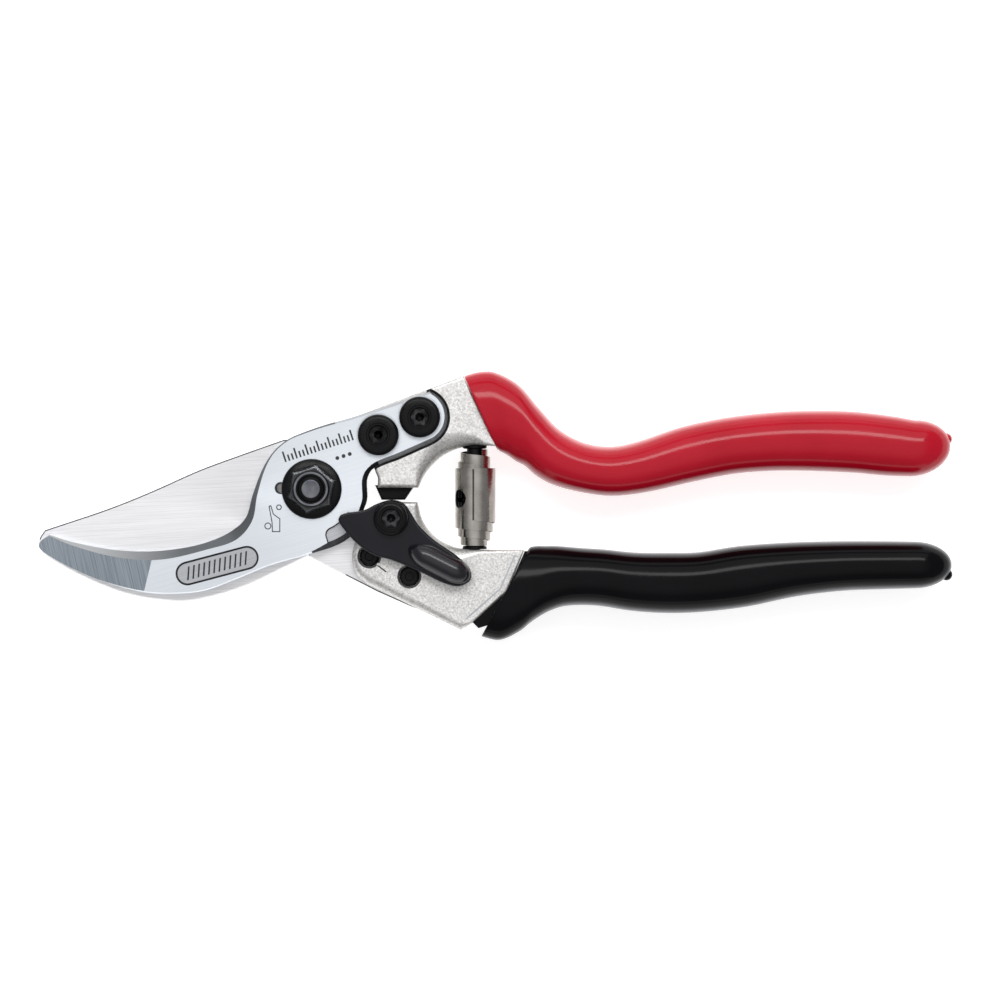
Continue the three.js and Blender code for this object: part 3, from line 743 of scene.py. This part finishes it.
# The third number of a point is the radius of the front edge there.
UPPER_HANDLE = outline(
    line((10.5, 16.8, 0.7), (18.2, 19.8, 0.8), (34.9, 26, 0.6), (42.3, 9.9, 0.3), (39.8, 10.05, 0.9),
         (37.4, 10.2, 2.6)),
    curve((37.4, 10.2, 2.6), (33.6, 9.4, 4.0), (29.6, 7.4, 4.2), (26, 3.6, 2.8), (24.4, 0.3, 0.9)),
    line((24.4, 0.3, 0.9), (15.2, 0.3, 0.9), (15.2, 2.6, 0.8)),
    curve((15.2, 2.6, 0.8), (13.9, 5.4, 0.8), (10.5, 9.7, 0.7)),
    line((10.5, 9.7, 0.7), (10.5, 16.8, 0.7)))
LOWER_HANDLE = outline(
    curve((9.8, -12.4, 1.2), (12.4, -7.6, 1.2), (15.6, -4, 1.0), (18.6, -3, 1.0)),
    line((18.6, -3, 1.0), (24.2, -3, 0.8)),
    curve((24.2, -3, 0.8), (25.5, -7.4, 2.6), (28.5, -11.2, 3.8), (33.2, -13.5, 3.0), (37.4, -14, 1.2)),
    line((37.4, -14, 0.9), (48.8, -14.1, 0.4), (44.9, -23.7, 0.6), (36.7, -30.9, 0.6),
         (34.2, -32.4, 1.6), (12.7, -21.9, 2.2)),
    curve((12.7, -21.9, 2.2), (10.1, -19.4, 1.8), (9.2, -15.5, 1.4), (9.8, -12.4, 1.2)))


def hook_tail(upper, lower):
    """The part of the hook's outline inside the handle, moved inwards by one distance along each edge."""
    moved = inset(COUNTER_BLADE, [upper if p.x < 26.5 and p.y > 13 else lower for p in COUNTER_BLADE])
    return [point for point in moved if point.x > 8]


def upper_handle():
    """The handle that holds the hook's tail in a recess, with a lug for the buffer."""
    core = plate("upper_handle_finished", UPPER_HANDLE, rounded(HANDLE_BACK, UPPER_FRONT, CORNER), CAST)
    room = 0.6
    combine(core, [sunk(hook_tail(-3, -room), 3.4, CAST)])
    # The floor round the tail is dark steel: painted shade in the gap between the tail and the handle.
    tools = [sunk(hook_tail(0.15, -room), 0, SHADE_STEEL),
             prism("tail_top", hook_tail(-0.02, -0.02), 0, 3.5, CAST)]
    tools += [drilled(x, y, HOOK_SCREW_HOLE, CAST) for x, y in HOOK_SCREWS]
    seat = (SPRING_X, UPPER_SEAT, SPRING_Z)
    tools.append(turned("pin_seat", [(3.4, -2.1), (3.4, 3.9)], seat, CAST, axis="Y"))
    tools.append(turned("plug_hole", [(1.6, -1), (1.6, 3.2)], (BUFFER_X, 0, SPRING_Z), CAST, axis="Y"))
    combine(core, tools)
    finish_piece(core, "hook_half")


def lower_handle():
    """The handle over the cutting blade's tang, with a pad under the catch and a grey line of painted shade
    at its flange.
    """
    core = plate("lower_handle_finished", LOWER_HANDLE, rounded(HANDLE_BACK, LOWER_FRONT, CORNER), CAST)
    pad = turned("pad", [(4.2, 2), (4.2, 4.1), (4.0, 4.3)], (*CATCH_PIVOT, 0), CAST)
    bar = stadium((15.2, -17.3), (17.4, -18.6), 0.32)
    combine(core, [pad, prism("bar", bar, LOWER_FRONT - 1, LOWER_FRONT + 0.35, CAST)], "UNION")
    tang_room = outline(line((-2, -8), (10, -6.6), (16.2, -9.7)), arc(25.6, -21.7, 6.5, 63.4, -100),
                        line((23, -33), (-2, -24)))
    tools = [prism("tang_room", tang_room, BLADE_BACK - 0.05, 0.02, CAST)]
    hole = [(2.35, -12), (2.35, -0.8), (2.9, 0.2)]
    tools += [turned("screw_hole", hole, (x, y, LOWER_FRONT), CAST, count=48) for x, y in TANG_SCREWS]
    seat = (SPRING_X, LOWER_SEAT, SPRING_Z)
    tools.append(turned("pin_seat", [(3.4, -1.3), (3.4, 1.9)], seat, CAST, axis="Y"))
    tools.append(drilled(*CATCH_PIVOT, 2.05, CAST, 32))
    combine(core, tools)
    flange = tagged([(46.9, -15.3), (43.4, -23.1), (35.6, -30.0), (35.3, -29.7), (43.1, -22.9),
                     (46.5, -15.2)])
    tick = stadium((15.2, -17.6), (17.0, -19.0), 0.16)
    # The flange line is painted shade; the tick is a scratch.
    combine(core, [sunk(flange, LOWER_FRONT - 0.2, RECESS_SHADE_STEEL), sunk(tick, LOWER_FRONT - 0.15)])
    finish_piece(core, "blade_half")


# ---- grips

# Each row is a section: the top point's x and y, the bottom point's x and y, and the depth along Z.
RED_ROWS = (
    (34.95, 26.1, 42.6, 9.0, 13), (38.6, 27, 44.9, 7.8, 13.6), (42.3, 26.8, 46.9, 6.4, 14.4),
    (47.6, 23.9, 49, 5.3, 15.2), (52.4, 18.4, 51.5, 3.1, 16), (57, 13.6, 55.4, 1, 16.4),
    (62.8, 10.6, 61.6, -0.7, 16.6), (69, 9.8, 69, -1.6, 16.4), (75.4, 11.1, 77.3, -0.7, 16.2),
    (84.6, 14.2, 87.4, 1.6, 16), (93.8, 16.2, 96.6, 3.4, 16), (103, 17.4, 104.4, 4.1, 16),
    (112.2, 18, 112.7, 4.2, 16), (123.7, 17.9, 123.7, 3.8, 15.6), (132.9, 16.9, 132, 3.1, 15),
    (138.7, 15.9, 137.8, 2.9, 14.4))
BLACK_ROWS = (
    (50.1, -13.3, 38.9, -34, 13), (51.8, -13.1, 43.2, -34.8, 13.6), (53.6, -13.1, 47.6, -32.9, 14),
    (56.1, -13.1, 50.8, -30.4, 14.5), (58.9, -13.3, 54.7, -28.1, 15), (62.6, -13.6, 58.9, -26.9, 15.8),
    (67.4, -13.9, 65.6, -26.9, 16.4), (74.3, -14.6, 73.6, -28.1, 16.5), (81.9, -14.7, 81.9, -28.6, 16.6),
    (89.2, -14.5, 90.2, -28.3, 16.3), (98.4, -13.1, 100.3, -27.1, 16), (109.9, -12.3, 111.3, -24.8, 16),
    (121.4, -12, 121.9, -23.5, 15.6), (131.8, -12, 131.8, -23.1, 15), (138.7, -12.1, 138.7, -22.9, 14))


def rolled_lip(sections):
    """Two smaller sections for the mouth. The first section steps back a little to make room for them."""
    top, bottom, depth = sections[0]
    mouth = (top + bottom) / 2
    onward = (sections[1][0] - top + sections[1][1] - bottom) / 2
    step = onward.normalized() * 0.3
    sections[0] = (top + step, bottom + step, depth)
    return [(mouth.lerp(top, size), mouth.lerp(bottom, size), depth * size) for size in (0.95, 0.985)]


def round_end(section, end):
    """Sections that shrink along an ellipse from the last section to the end point."""
    top, bottom, depth = section
    middle = (top + bottom) / 2
    closing = []
    for t in (0.15, 0.3, 0.45, 0.6, 0.72, 0.82, 0.9, 0.955, 0.99):
        size = math.sqrt(1 - t * t)
        centre = middle.lerp(Vector((*end, 0)), t)
        closing.append((centre + (top - middle) * size, centre + (bottom - middle) * size, depth * size))
    return closing


def grip(name, rows, end, nub, material):
    """A dipped grip: a smooth run through the rows, a rolled lip, a round end and a small nub."""
    tops = tagged([(r[0], r[1], r[4]) for r in rows])
    bottoms = tagged([(r[2], r[3], r[4]) for r in rows])
    steps = 5
    sections = []
    for k in range(len(rows) - 1):
        for s in range(steps):
            top = spline_at(tops, k, s / steps)
            sections.append((top, spline_at(bottoms, k, s / steps), top.z))
    sections.append((tops[-1], bottoms[-1], tops[-1].z))
    closing = round_end(sections[-1], end)
    lip = rolled_lip(sections)
    squareness = 2.3
    body = loft(name, lip + sections + closing, GRIP_MIDDLE, squareness, material)
    ball = [(0.3, -1.4), (0.85, -1.2), (1.25, -0.7), (1.4, 0), (1.25, 0.7), (0.85, 1.2), (0.3, 1.4)]
    combine(body, [turned("nub", ball, (*nub, GRIP_MIDDLE), material, count=24)], "UNION")
    return body


def spline_at(points, k, t):
    """A Catmull-Rom point between points k and k + 1."""
    a = points[k - 1] if k else 2 * points[0] - points[1]
    b, c = points[k], points[k + 1]
    d = points[k + 2] if k + 2 < len(points) else 2 * points[-1] - points[-2]
    return 0.5 * (2 * b + (c - a) * t + (2 * a - 5 * b + 4 * c - d) * t * t
                  + (3 * b - a - 3 * c + d) * t ** 3)


def red_grip():
    """The upper handle's grip."""
    body = grip("upper_grip_finished", RED_ROWS, (147, 9.6), (146.0, 11.5), RED)
    finish_piece(body, "hook_half", 50)


def black_grip():
    """The lower handle's grip, with the neck that joins its flared mouth to the handle."""
    body = grip("lower_grip_finished", BLACK_ROWS, (147.3, -17.5), (146.1, -19.7), BLACK)
    neck = outline(line((45, -23.4), (36.9, -30.6), (38.3, -32), (40.5, -31.3), (48, -26), (50.8, -14.3),
                        (48.95, -14.3)))
    combine(body, [prism("neck", neck, -5.8, 2.8, BLACK)], "UNION")
    finish_piece(body, "blade_half", 40)


# ---- fasteners

def lobed(x, y, radius, lobe, count=72):
    """A six-lobe outline whose radius swings by the lobe's height."""
    points = []
    for angle in around(count):
        reach = radius + lobe * math.cos(6 * angle)
        points.append(Vector((x + reach * math.cos(angle), y + reach * math.sin(angle), 0)))
    return points


def hexagon(flats, turn):
    """A hexagon outline by its width across flats, with its first corner at a turn in degrees."""
    radius = flats / math.sqrt(3)
    angles = [math.radians(turn + 60 * k) for k in range(6)]
    return [Vector((radius * math.cos(a), radius * math.sin(a), 0)) for a in angles]


def socket_screw(node, body, spot, seat, head, height, shank, end):
    """A screw with a domed rim, a shallow dish and a six-lobe socket. head and shank are radii."""
    top = seat + height
    dish = 0.25
    profile = [(shank - 0.3, end), (shank, end + 0.3), (shank, seat), (head - 0.2, seat), (head, seat + 0.2),
               (head, top - 0.7), (head - 0.25, top - 0.25), (head - 0.8, top),
               (2.75, top), (2.6, top - dish), (0.2, top - dish)]
    screw = turned(node + "_finished", profile, (0, 0, 0), OXIDE)
    combine(screw, [prism("socket", lobed(0, 0, 1.75, 0.3), top - 1.5, top + 1, SOCKET),
                    turned("rim", [(2.0, -0.6), (2.35, 0.2)], (0, 0, top - dish), OXIDE),
                    turned("point", [(0.05, -2.3), (1.25, -1.4)], (0, 0, top), SOCKET, count=7)])
    screw.data.transform(Matrix.Translation((*spot, 0)))
    finish_piece(screw, body)


def front_screws():
    """The two screws through the hook's tail, and the catch's screw."""
    for k, spot in enumerate(HOOK_SCREWS):
        socket_screw(f"counter_blade_screw_{k + 1}", "hook_half", spot, seat=4.0, head=4.7, height=2.45,
                     shank=2.4, end=-4.95)
    socket_screw("catch_screw", "blade_half", CATCH_PIVOT, seat=7.65, head=3.85, height=1.9,
                 shank=1.9, end=-4.0)


def tang_screws():
    """The two screws that come through the lower handle from the back."""
    profile = [(3.4, -5.45), (3.8, -5.1), (3.8, -3.7), (3.6, -3.5), (2.15, -3.5), (2.15, 2.45), (1.75, 2.85)]
    for k, (x, y) in enumerate(TANG_SCREWS):
        node = f"blade_screw_{k + 1}"
        screw = turned(node + "_finished", profile, (x, y, 0), OXIDE, count=48)
        combine(screw, [prism("socket", lobed(x, y, 1.6, 0.28), -7, -4.1, OXIDE),
                        turned("dish", [(0.9, 2.55), (1.2, 3.2)], (x, y, 0), OXIDE, count=32)])
        finish_piece(screw, "blade_half")


def mark_end_and_highlight(obj, height, radius):
    """Gives the faces above a height and within a radius of the pivot the lighter steel of the bolt's end,
    which on the nut's collar is a painted highlight.
    """
    obj.data.materials.append(BOLT_END_AND_HIGHLIGHT)
    slot = len(obj.data.materials) - 1
    for face in obj.data.polygons:
        if face.center.z > height and face.center.xy.length < radius:
            face.material_index = slot


def pivot_nut():
    """A nut with a thin flange, a tapered hexagon and a collar round the bolt's end."""
    flange = [(6.7, 4.3), (6.9, 4.5), (6.85, 4.9), (6.5, 5.25), (5.4, 5.5), (5.0, 5.55)]
    nut = turned("pivot_nut_finished", flange, (0, 0, 0), OXIDE, count=96)
    tapered = [lambda tag: (0, 4.6), lambda tag: (0.1, 6.4), lambda tag: (0.75, 9.1),
               lambda tag: (0.95, 9.4)]
    # The hexagon takes the lighter oxide copy: painted light on its facets.
    block = plate("hex", hexagon(10.3, -101), tapered, NUT_OXIDE_LIT)
    cone = turned("cone", [(6.4, 3), (6.4, 8.75), (5.0, 9.45)], (0, 0, 0), NUT_OXIDE_LIT, count=96)
    combine(block, [cone], "INTERSECT")
    collar = turned("collar", [(4.3, 9.0), (4.3, 9.9), (4.05, 10.2), (3.9, 10.3)], (0, 0, 0), OXIDE)
    combine(nut, [block, collar], "UNION")
    combine(nut, [turned("bore", [(3.05, 3), (3.05, 8.8), (3.45, 8.8), (3.45, 12)], (0, 0, 0), OXIDE)])
    # Painted highlight: a light ring on the collar's inner edge.
    mark_end_and_highlight(nut, 9.9, 3.66)
    finish_piece(nut, "hook_half")


def pivot_bolt():
    """The bolt, with a low head at the back that has two flats."""
    profile = [(4.1, -8.6), (4.4, -8.6), (5.0, -8.3), (5.3, -7.9), (5.3, -5.5), (5.1, -5.3), (3, -5.3),
               (3, 10.0), (2.1, 10.75), (1.9, 10.85)]
    bolt = turned("pivot_bolt_finished", profile, (0, 0, 0), OXIDE)
    flats = []
    for side in (-1, 1):
        corners = [(side * 4.5, -7), (side * 4.5, 7), (side * 7, 7), (side * 7, -7)]
        flats.append(prism("flat", outline(line(*corners)), -9, -5.2, OXIDE))
    combine(bolt, flats)
    mark_end_and_highlight(bolt, 10.76, 3)
    finish_piece(bolt, "hook_half")


def rings():
    """Bushes, washers and the nut's locking ring, each a turned ring with small chamfers."""
    pivot = (0, 0)
    rows = (
        ("pivot_bush", "blade_half", BRONZE, "bronze", pivot,
         ring_profile(BOLT_BORE, 4.5, BLADE_BACK, -0.05)),
        ("thrust_washer", "hook_half", BRONZE, "bronze", pivot, ring_profile(3.2, 6, -4.3, -3.5)),
        ("spring_washer", "hook_half", NICKEL, "nickel", pivot, ring_profile(3.2, 4.9, -5.2, -4.4)),
        ("nut_locking_ring", "hook_half", OXIDE, "nylon", pivot,
         ring_profile(BOLT_BORE, 3.43, 8.9, 10.1, 0.08)),
        ("catch_bush", "blade_half", BRONZE, "bronze", CATCH_PIVOT, ring_profile(2.08, 3, 4.35, 7.05)),
        ("catch_spring_washer", "blade_half", NICKEL, "nickel", CATCH_PIVOT,
         ring_profile(2.1, 3.6, 7.1, 7.6)))
    for node, body, material, slot, (x, y), profile in rows:
        piece = turned(node + "_finished", profile, (x, y, 0), material, hollow=True)
        finish_piece(piece, body)


def spring_pins():
    """The pins at the spring's ends: a stem in the handle, a round seat and a peg inside the spring."""
    shape = ((1.1, -3), (1.2, -2.8), (1.2, 0), (2.8, 0.05), (2.8, 0.6), (2.5, 0.8), (1.8, 0.85),
             (1.8, 5.7), (1.5, 6))
    ends = (("upper_spring_pin", "hook_half", UPPER_SEAT, -1),
            ("lower_spring_pin", "blade_half", LOWER_SEAT, 1))
    for node, body, y, way in ends:
        profile = [(radius, height * way) for radius, height in shape]
        pin = turned(node + "_finished", profile, (SPRING_X, y, SPRING_Z), OXIDE, axis="Y", count=40)
        finish_piece(pin, body)


# ---- catch, buffer, spring

# The third number of a point is the radius of the front edge there.
LEVER = outline(
    curve((6.2, -6.9, 0.5), (6.7, -6.0, 0.5), (8.0, -5.5, 0.5), (12.2, -4.8, 0.5), (15, -3.4, 0.5),
          (18.4, -2.5, 0.5), (21.2, -3.3, 0.5), (24.5, -8.1, 0.6),
          (27.8, -11.4, 0.6), (33.6, -15.5, 0.6), (36.4, -18.4, 0.6), (36.5, -20.8, 0.6),
          (33.9, -22.3, 0.6), (30.7, -21.7, 0.6), (24.5, -18.8, 0.6), (18.4, -16.3, 0.6),
          (14.2, -15.1, 0.6), (10.1, -12.2, 0.6), (6.4, -7.7, 0.5), (6.2, -6.9, 0.5)))


def thumb_nub():
    """The lever's raised thumb nub: a long half-round ridge that rises quickly and ends in a round tail."""
    start, end = Vector((22.4, -13.4)), Vector((36.3, -20.5))
    side = Vector((start.y - end.y, end.x - start.x)).normalized()
    base = 6.9
    depth = 1.8
    widest = 2.95
    tallest = 3.75
    tail_start = 0.72
    steps, count = 24, 44
    rings = []
    for k in range(steps + 1):
        t = k / steps
        rise = math.sin(math.pi * min(1, t * 3.2) / 2) ** 0.5 if t else 0.15
        tail = math.sqrt(max(0.02, 1 - max(0, (t - tail_start) / (1 - tail_start)) ** 2.2))
        width = (widest - 0.1 * t) * max(0.18, rise) * tail
        height = (tallest - 0.4 * t) * max(0.12, rise) * tail
        centre = start.lerp(end, t)
        ring = []
        for angle in around(count):
            spot = centre + side * (width * math.cos(angle))
            up = math.sin(angle)
            ring.append((spot.x, spot.y, base + up * (height if up > 0 else depth * tail)))
        rings.append(ring)
    return skin("nub", rings, NUB_BLACK)


def catch_lever():
    """The catch's flat lever with its thumb nub, its tooth over the hook's pocket and its bore."""
    lever = plate("catch_lever_finished", LEVER, rounded(4.6, 7.0, 0.3, 3), LEVER_BLACK)
    combine(lever, [thumb_nub()], "UNION")
    sector = outline(arc(0, 0, 12.3, -40.5, -33.5), arc(0, 0, 10.6, -33.5, -40.5))
    combine(lever, [prism("tooth", sector, 3.4, 5, LEVER_BLACK)], "UNION")
    dish = [(3.95, 6.6), (3.95, 6.75), (4.25, 7.6)]
    combine(lever, [sunk(circle(*CATCH_PIVOT, 3.08), 2, LEVER_BLACK),
                    turned("dish", dish, (*CATCH_PIVOT, 0), LEVER_BLACK)])
    finish_piece(lever, "catch", 42)


def buffer_block():
    """The rubber block under the upper handle's lug, with the plug that holds it there."""
    shape = outline(line((14.5, 0.9, 0.3), (16, -2.5, 0.6), (21.3, -2.5, 0.6), (23.6, 0.9, 0.3)))
    block = plate("buffer_finished", shape, rounded(-4.9, 2.3, 0.4, 3), RUBBER)
    plug = [(1.5, -1), (1.5, 2.8), (1.3, 3)]
    combine(block, [turned("plug", plug, (BUFFER_X, 0, SPRING_Z), RUBBER, axis="Y")], "UNION")
    finish_piece(block, "hook_half")


# How thick a strip is, and how much nearer to the axis it lies after each turn.
STRIP_THICKNESS = 0.3
STRIP_STEP = 0.6


def strip(name, outer, turns, edges_at, way):
    """A strip that winds inwards from a free end. edges_at gives its low and high edge at a turn."""
    per_turn = 40
    rings = []
    for k in range(int(turns * per_turn) + 1):
        turn = k / per_turn
        angle = math.pi / 2 + way * math.tau * turn
        radius = outer - STRIP_STEP * turn
        inner = radius - STRIP_THICKNESS
        low, high = edges_at(turn)
        rings.append([(SPRING_X + r * math.cos(angle), y, SPRING_Z + r * math.sin(angle))
                      for r, y in ((radius, low), (radius, high), (inner, high), (inner, low))])
    return skin(name, rings, NICKEL)


def lower_edges(turn):
    """The outer strip steps down to the lower pin. Its upper edge drops away once it is out of sight."""
    low = -7.3 - 2.1 * turn if turn < 1 else max(-9.4 - 1.9 * (turn - 1), -13.05)
    return low, 4.8 if turn < 1.02 else max(-3.0, 4.8 - 31.2 * (turn - 1.02))


def upper_edges(turn):
    """The inner strip steps up to the upper pin."""
    return -2.0, min(5.7 + 2.2 * turn, 9.15)


def strip_hole():
    """A round cutter through the strips' front on the side of the blades."""
    start = Vector((SPRING_X - 2.2, -2.25, SPRING_Z + 1.5))
    end = Vector((SPRING_X - 7, -2.25, SPRING_Z + 4.7))
    up = Vector((0, 1, 0))
    side = (end - start).normalized().cross(up)
    rings = [[foot + (up * math.cos(a) + side * math.sin(a)) * 2.1 for a in around(40)]
             for foot in (start, end)]
    return skin("hole", rings, ENGRAVED_AND_SHADE)


def seam(left, right, low, high, floor):
    """A thin slot in the outer strip between two distances from its axis and two heights, with dark walls as
    painted shade of the gap between turns.
    """
    corners = [(SPRING_X + left, low), (SPRING_X + right, low), (SPRING_X + right, high),
               (SPRING_X + left, high)]
    return prism("seam", outline(line(*corners)), SPRING_Z + floor, SPRING_Z + 6, ENGRAVED_AND_SHADE)


def blend_strip(piece, outer, turns, weight_inside):
    """Lets a strip follow both handles, by a weight that depends on a point's distance from the axis."""
    weight_outside = 0.5
    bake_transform(piece, "hook_half", "blade_half", place((SPRING_X, 9.1, 0)), place((SPRING_X, -13.1, 0)))
    weights = piece.data.attributes["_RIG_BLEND"].data
    for vertex in piece.data.vertices:
        x = vertex.co.x / MM - SPRING_X
        z = vertex.co.z / MM - SHEAR_HEIGHT - SPRING_Z
        inwards = (outer - math.hypot(x, z)) / (STRIP_STEP * turns)
        share = min(1.0, max(0.0, inwards))
        weights[vertex.index].value = weight_outside + (weight_inside - weight_outside) * share


def volute_spring():
    """Two strips that telescope: an outer one down to the lower pin, an inner one up to the upper pin."""
    rows = (("spring_lower_strip", 4.95, 3.2, lower_edges, -1, 1.0),
            ("spring_upper_strip", 4.04, 1.9, upper_edges, 1, 0.0))
    for name, outer, turns, edges_at, way, weight_inside in rows:
        piece = strip(name, outer, turns, edges_at, way)
        cuts = [strip_hole()]
        if edges_at is lower_edges:
            # Dark seams: painted shade of the gaps between the strip's turns.
            cuts.append(seam(-0.5, -0.12, -7.2, 4.6, 4.15))
            cuts.append(seam(-2.95, -2.65, -7.6, -4.6, 3.85))
        combine(piece, cuts)
        to_frame(piece)
        shade(piece, 30)
        blend_strip(piece, outer, turns, weight_inside)
        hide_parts("volute_spring")


# ---- studio

def area_light(name, where, size, power):
    """A soft rectangular light that faces the tool's middle."""
    middle = Vector((0.04, 0, 0.01))
    data = bpy.data.lights.new(name, "AREA")
    data.shape = "RECTANGLE"
    data.size, data.size_y = size
    data.energy = power
    lamp = bpy.data.objects.new(name, data)
    lamp.location = where
    lamp.rotation_euler = (middle - Vector(where)).to_track_quat("-Z", "Y").to_euler()
    bpy.context.scene.collection.objects.link(lamp)


def floor():
    """A pale floor just under the tool."""
    half = 3.0
    corners = [(-half, -half, 0), (half, -half, 0), (half, half, 0), (-half, half, 0)]
    mesh = bpy.data.meshes.new("floor")
    mesh.from_pydata(corners, [], [(0, 1, 2, 3)])
    mesh.materials.append(plain_floor())
    obj = bpy.data.objects.new("floor", mesh)
    obj.location.z = cad_box[0].z - 0.3 * MM
    bpy.context.scene.collection.objects.link(obj)


def sky():
    """A grey sky that is near white overhead."""
    world = bpy.data.worlds.new("studio")
    bpy.context.scene.world = world
    world.use_nodes = True
    tree = world.node_tree
    coords = tree.nodes.new("ShaderNodeTexCoord")
    split = tree.nodes.new("ShaderNodeSeparateXYZ")
    ramp = tree.nodes.new("ShaderNodeValToRGB")
    ramp.color_ramp.elements[0].position = 0.0
    ramp.color_ramp.elements[0].color = (0.30, 0.30, 0.305, 1)
    ramp.color_ramp.elements[1].position = 0.97
    ramp.color_ramp.elements[1].color = (0.86, 0.865, 0.88, 1)
    middle = ramp.color_ramp.elements.new(0.7)
    middle.color = (0.34, 0.34, 0.345, 1)
    tree.links.new(coords.outputs["Generated"], split.inputs["Vector"])
    tree.links.new(split.outputs["Z"], ramp.inputs["Fac"])
    tree.links.new(ramp.outputs["Color"], tree.nodes["Background"].inputs["Color"])


def lights():
    """Large soft lights: one above, a long one for the streaks, and two low ones for the rims."""
    area_light("key", (0.05, 0.9, 0.75), (1.6, 0.6), 3)
    area_light("strip", (0.1, 0.62, 1.15), (1.3, 0.28), 8)
    area_light("back_rim", (0.05, 1.3, 0.22), (1.8, 0.25), 1.5)
    area_light("front_rim", (0.05, -1.3, 0.2), (1.8, 0.25), 1.2)


def camera():
    """Looks straight down on the tool, which is a little narrower than the view."""
    distance = 1.2
    view_width = 0.230
    sharp_height = 0.0105
    middle = (0.04324, -0.00253)
    data = bpy.data.cameras.new("camera")
    data.sensor_width = 36
    data.lens = data.sensor_width * distance / view_width
    eye = bpy.data.objects.new("camera", data)
    eye.location = (*middle, distance + sharp_height)
    scene = bpy.context.scene
    scene.collection.objects.link(eye)
    scene.camera = eye
    scene.view_settings.view_transform = "Standard"


def build():
    """Makes every visible piece and the studio."""
    counter_blade()
    cutting_blade()
    upper_handle()
    lower_handle()
    red_grip()
    black_grip()
    front_screws()
    pivot_nut()
    pivot_bolt()
    rings()
    tang_screws()
    spring_pins()
    catch_lever()
    buffer_block()
    volute_spring()
    floor()
    sky()
    lights()
    camera()


build()
bpy.context.view_layer.update()
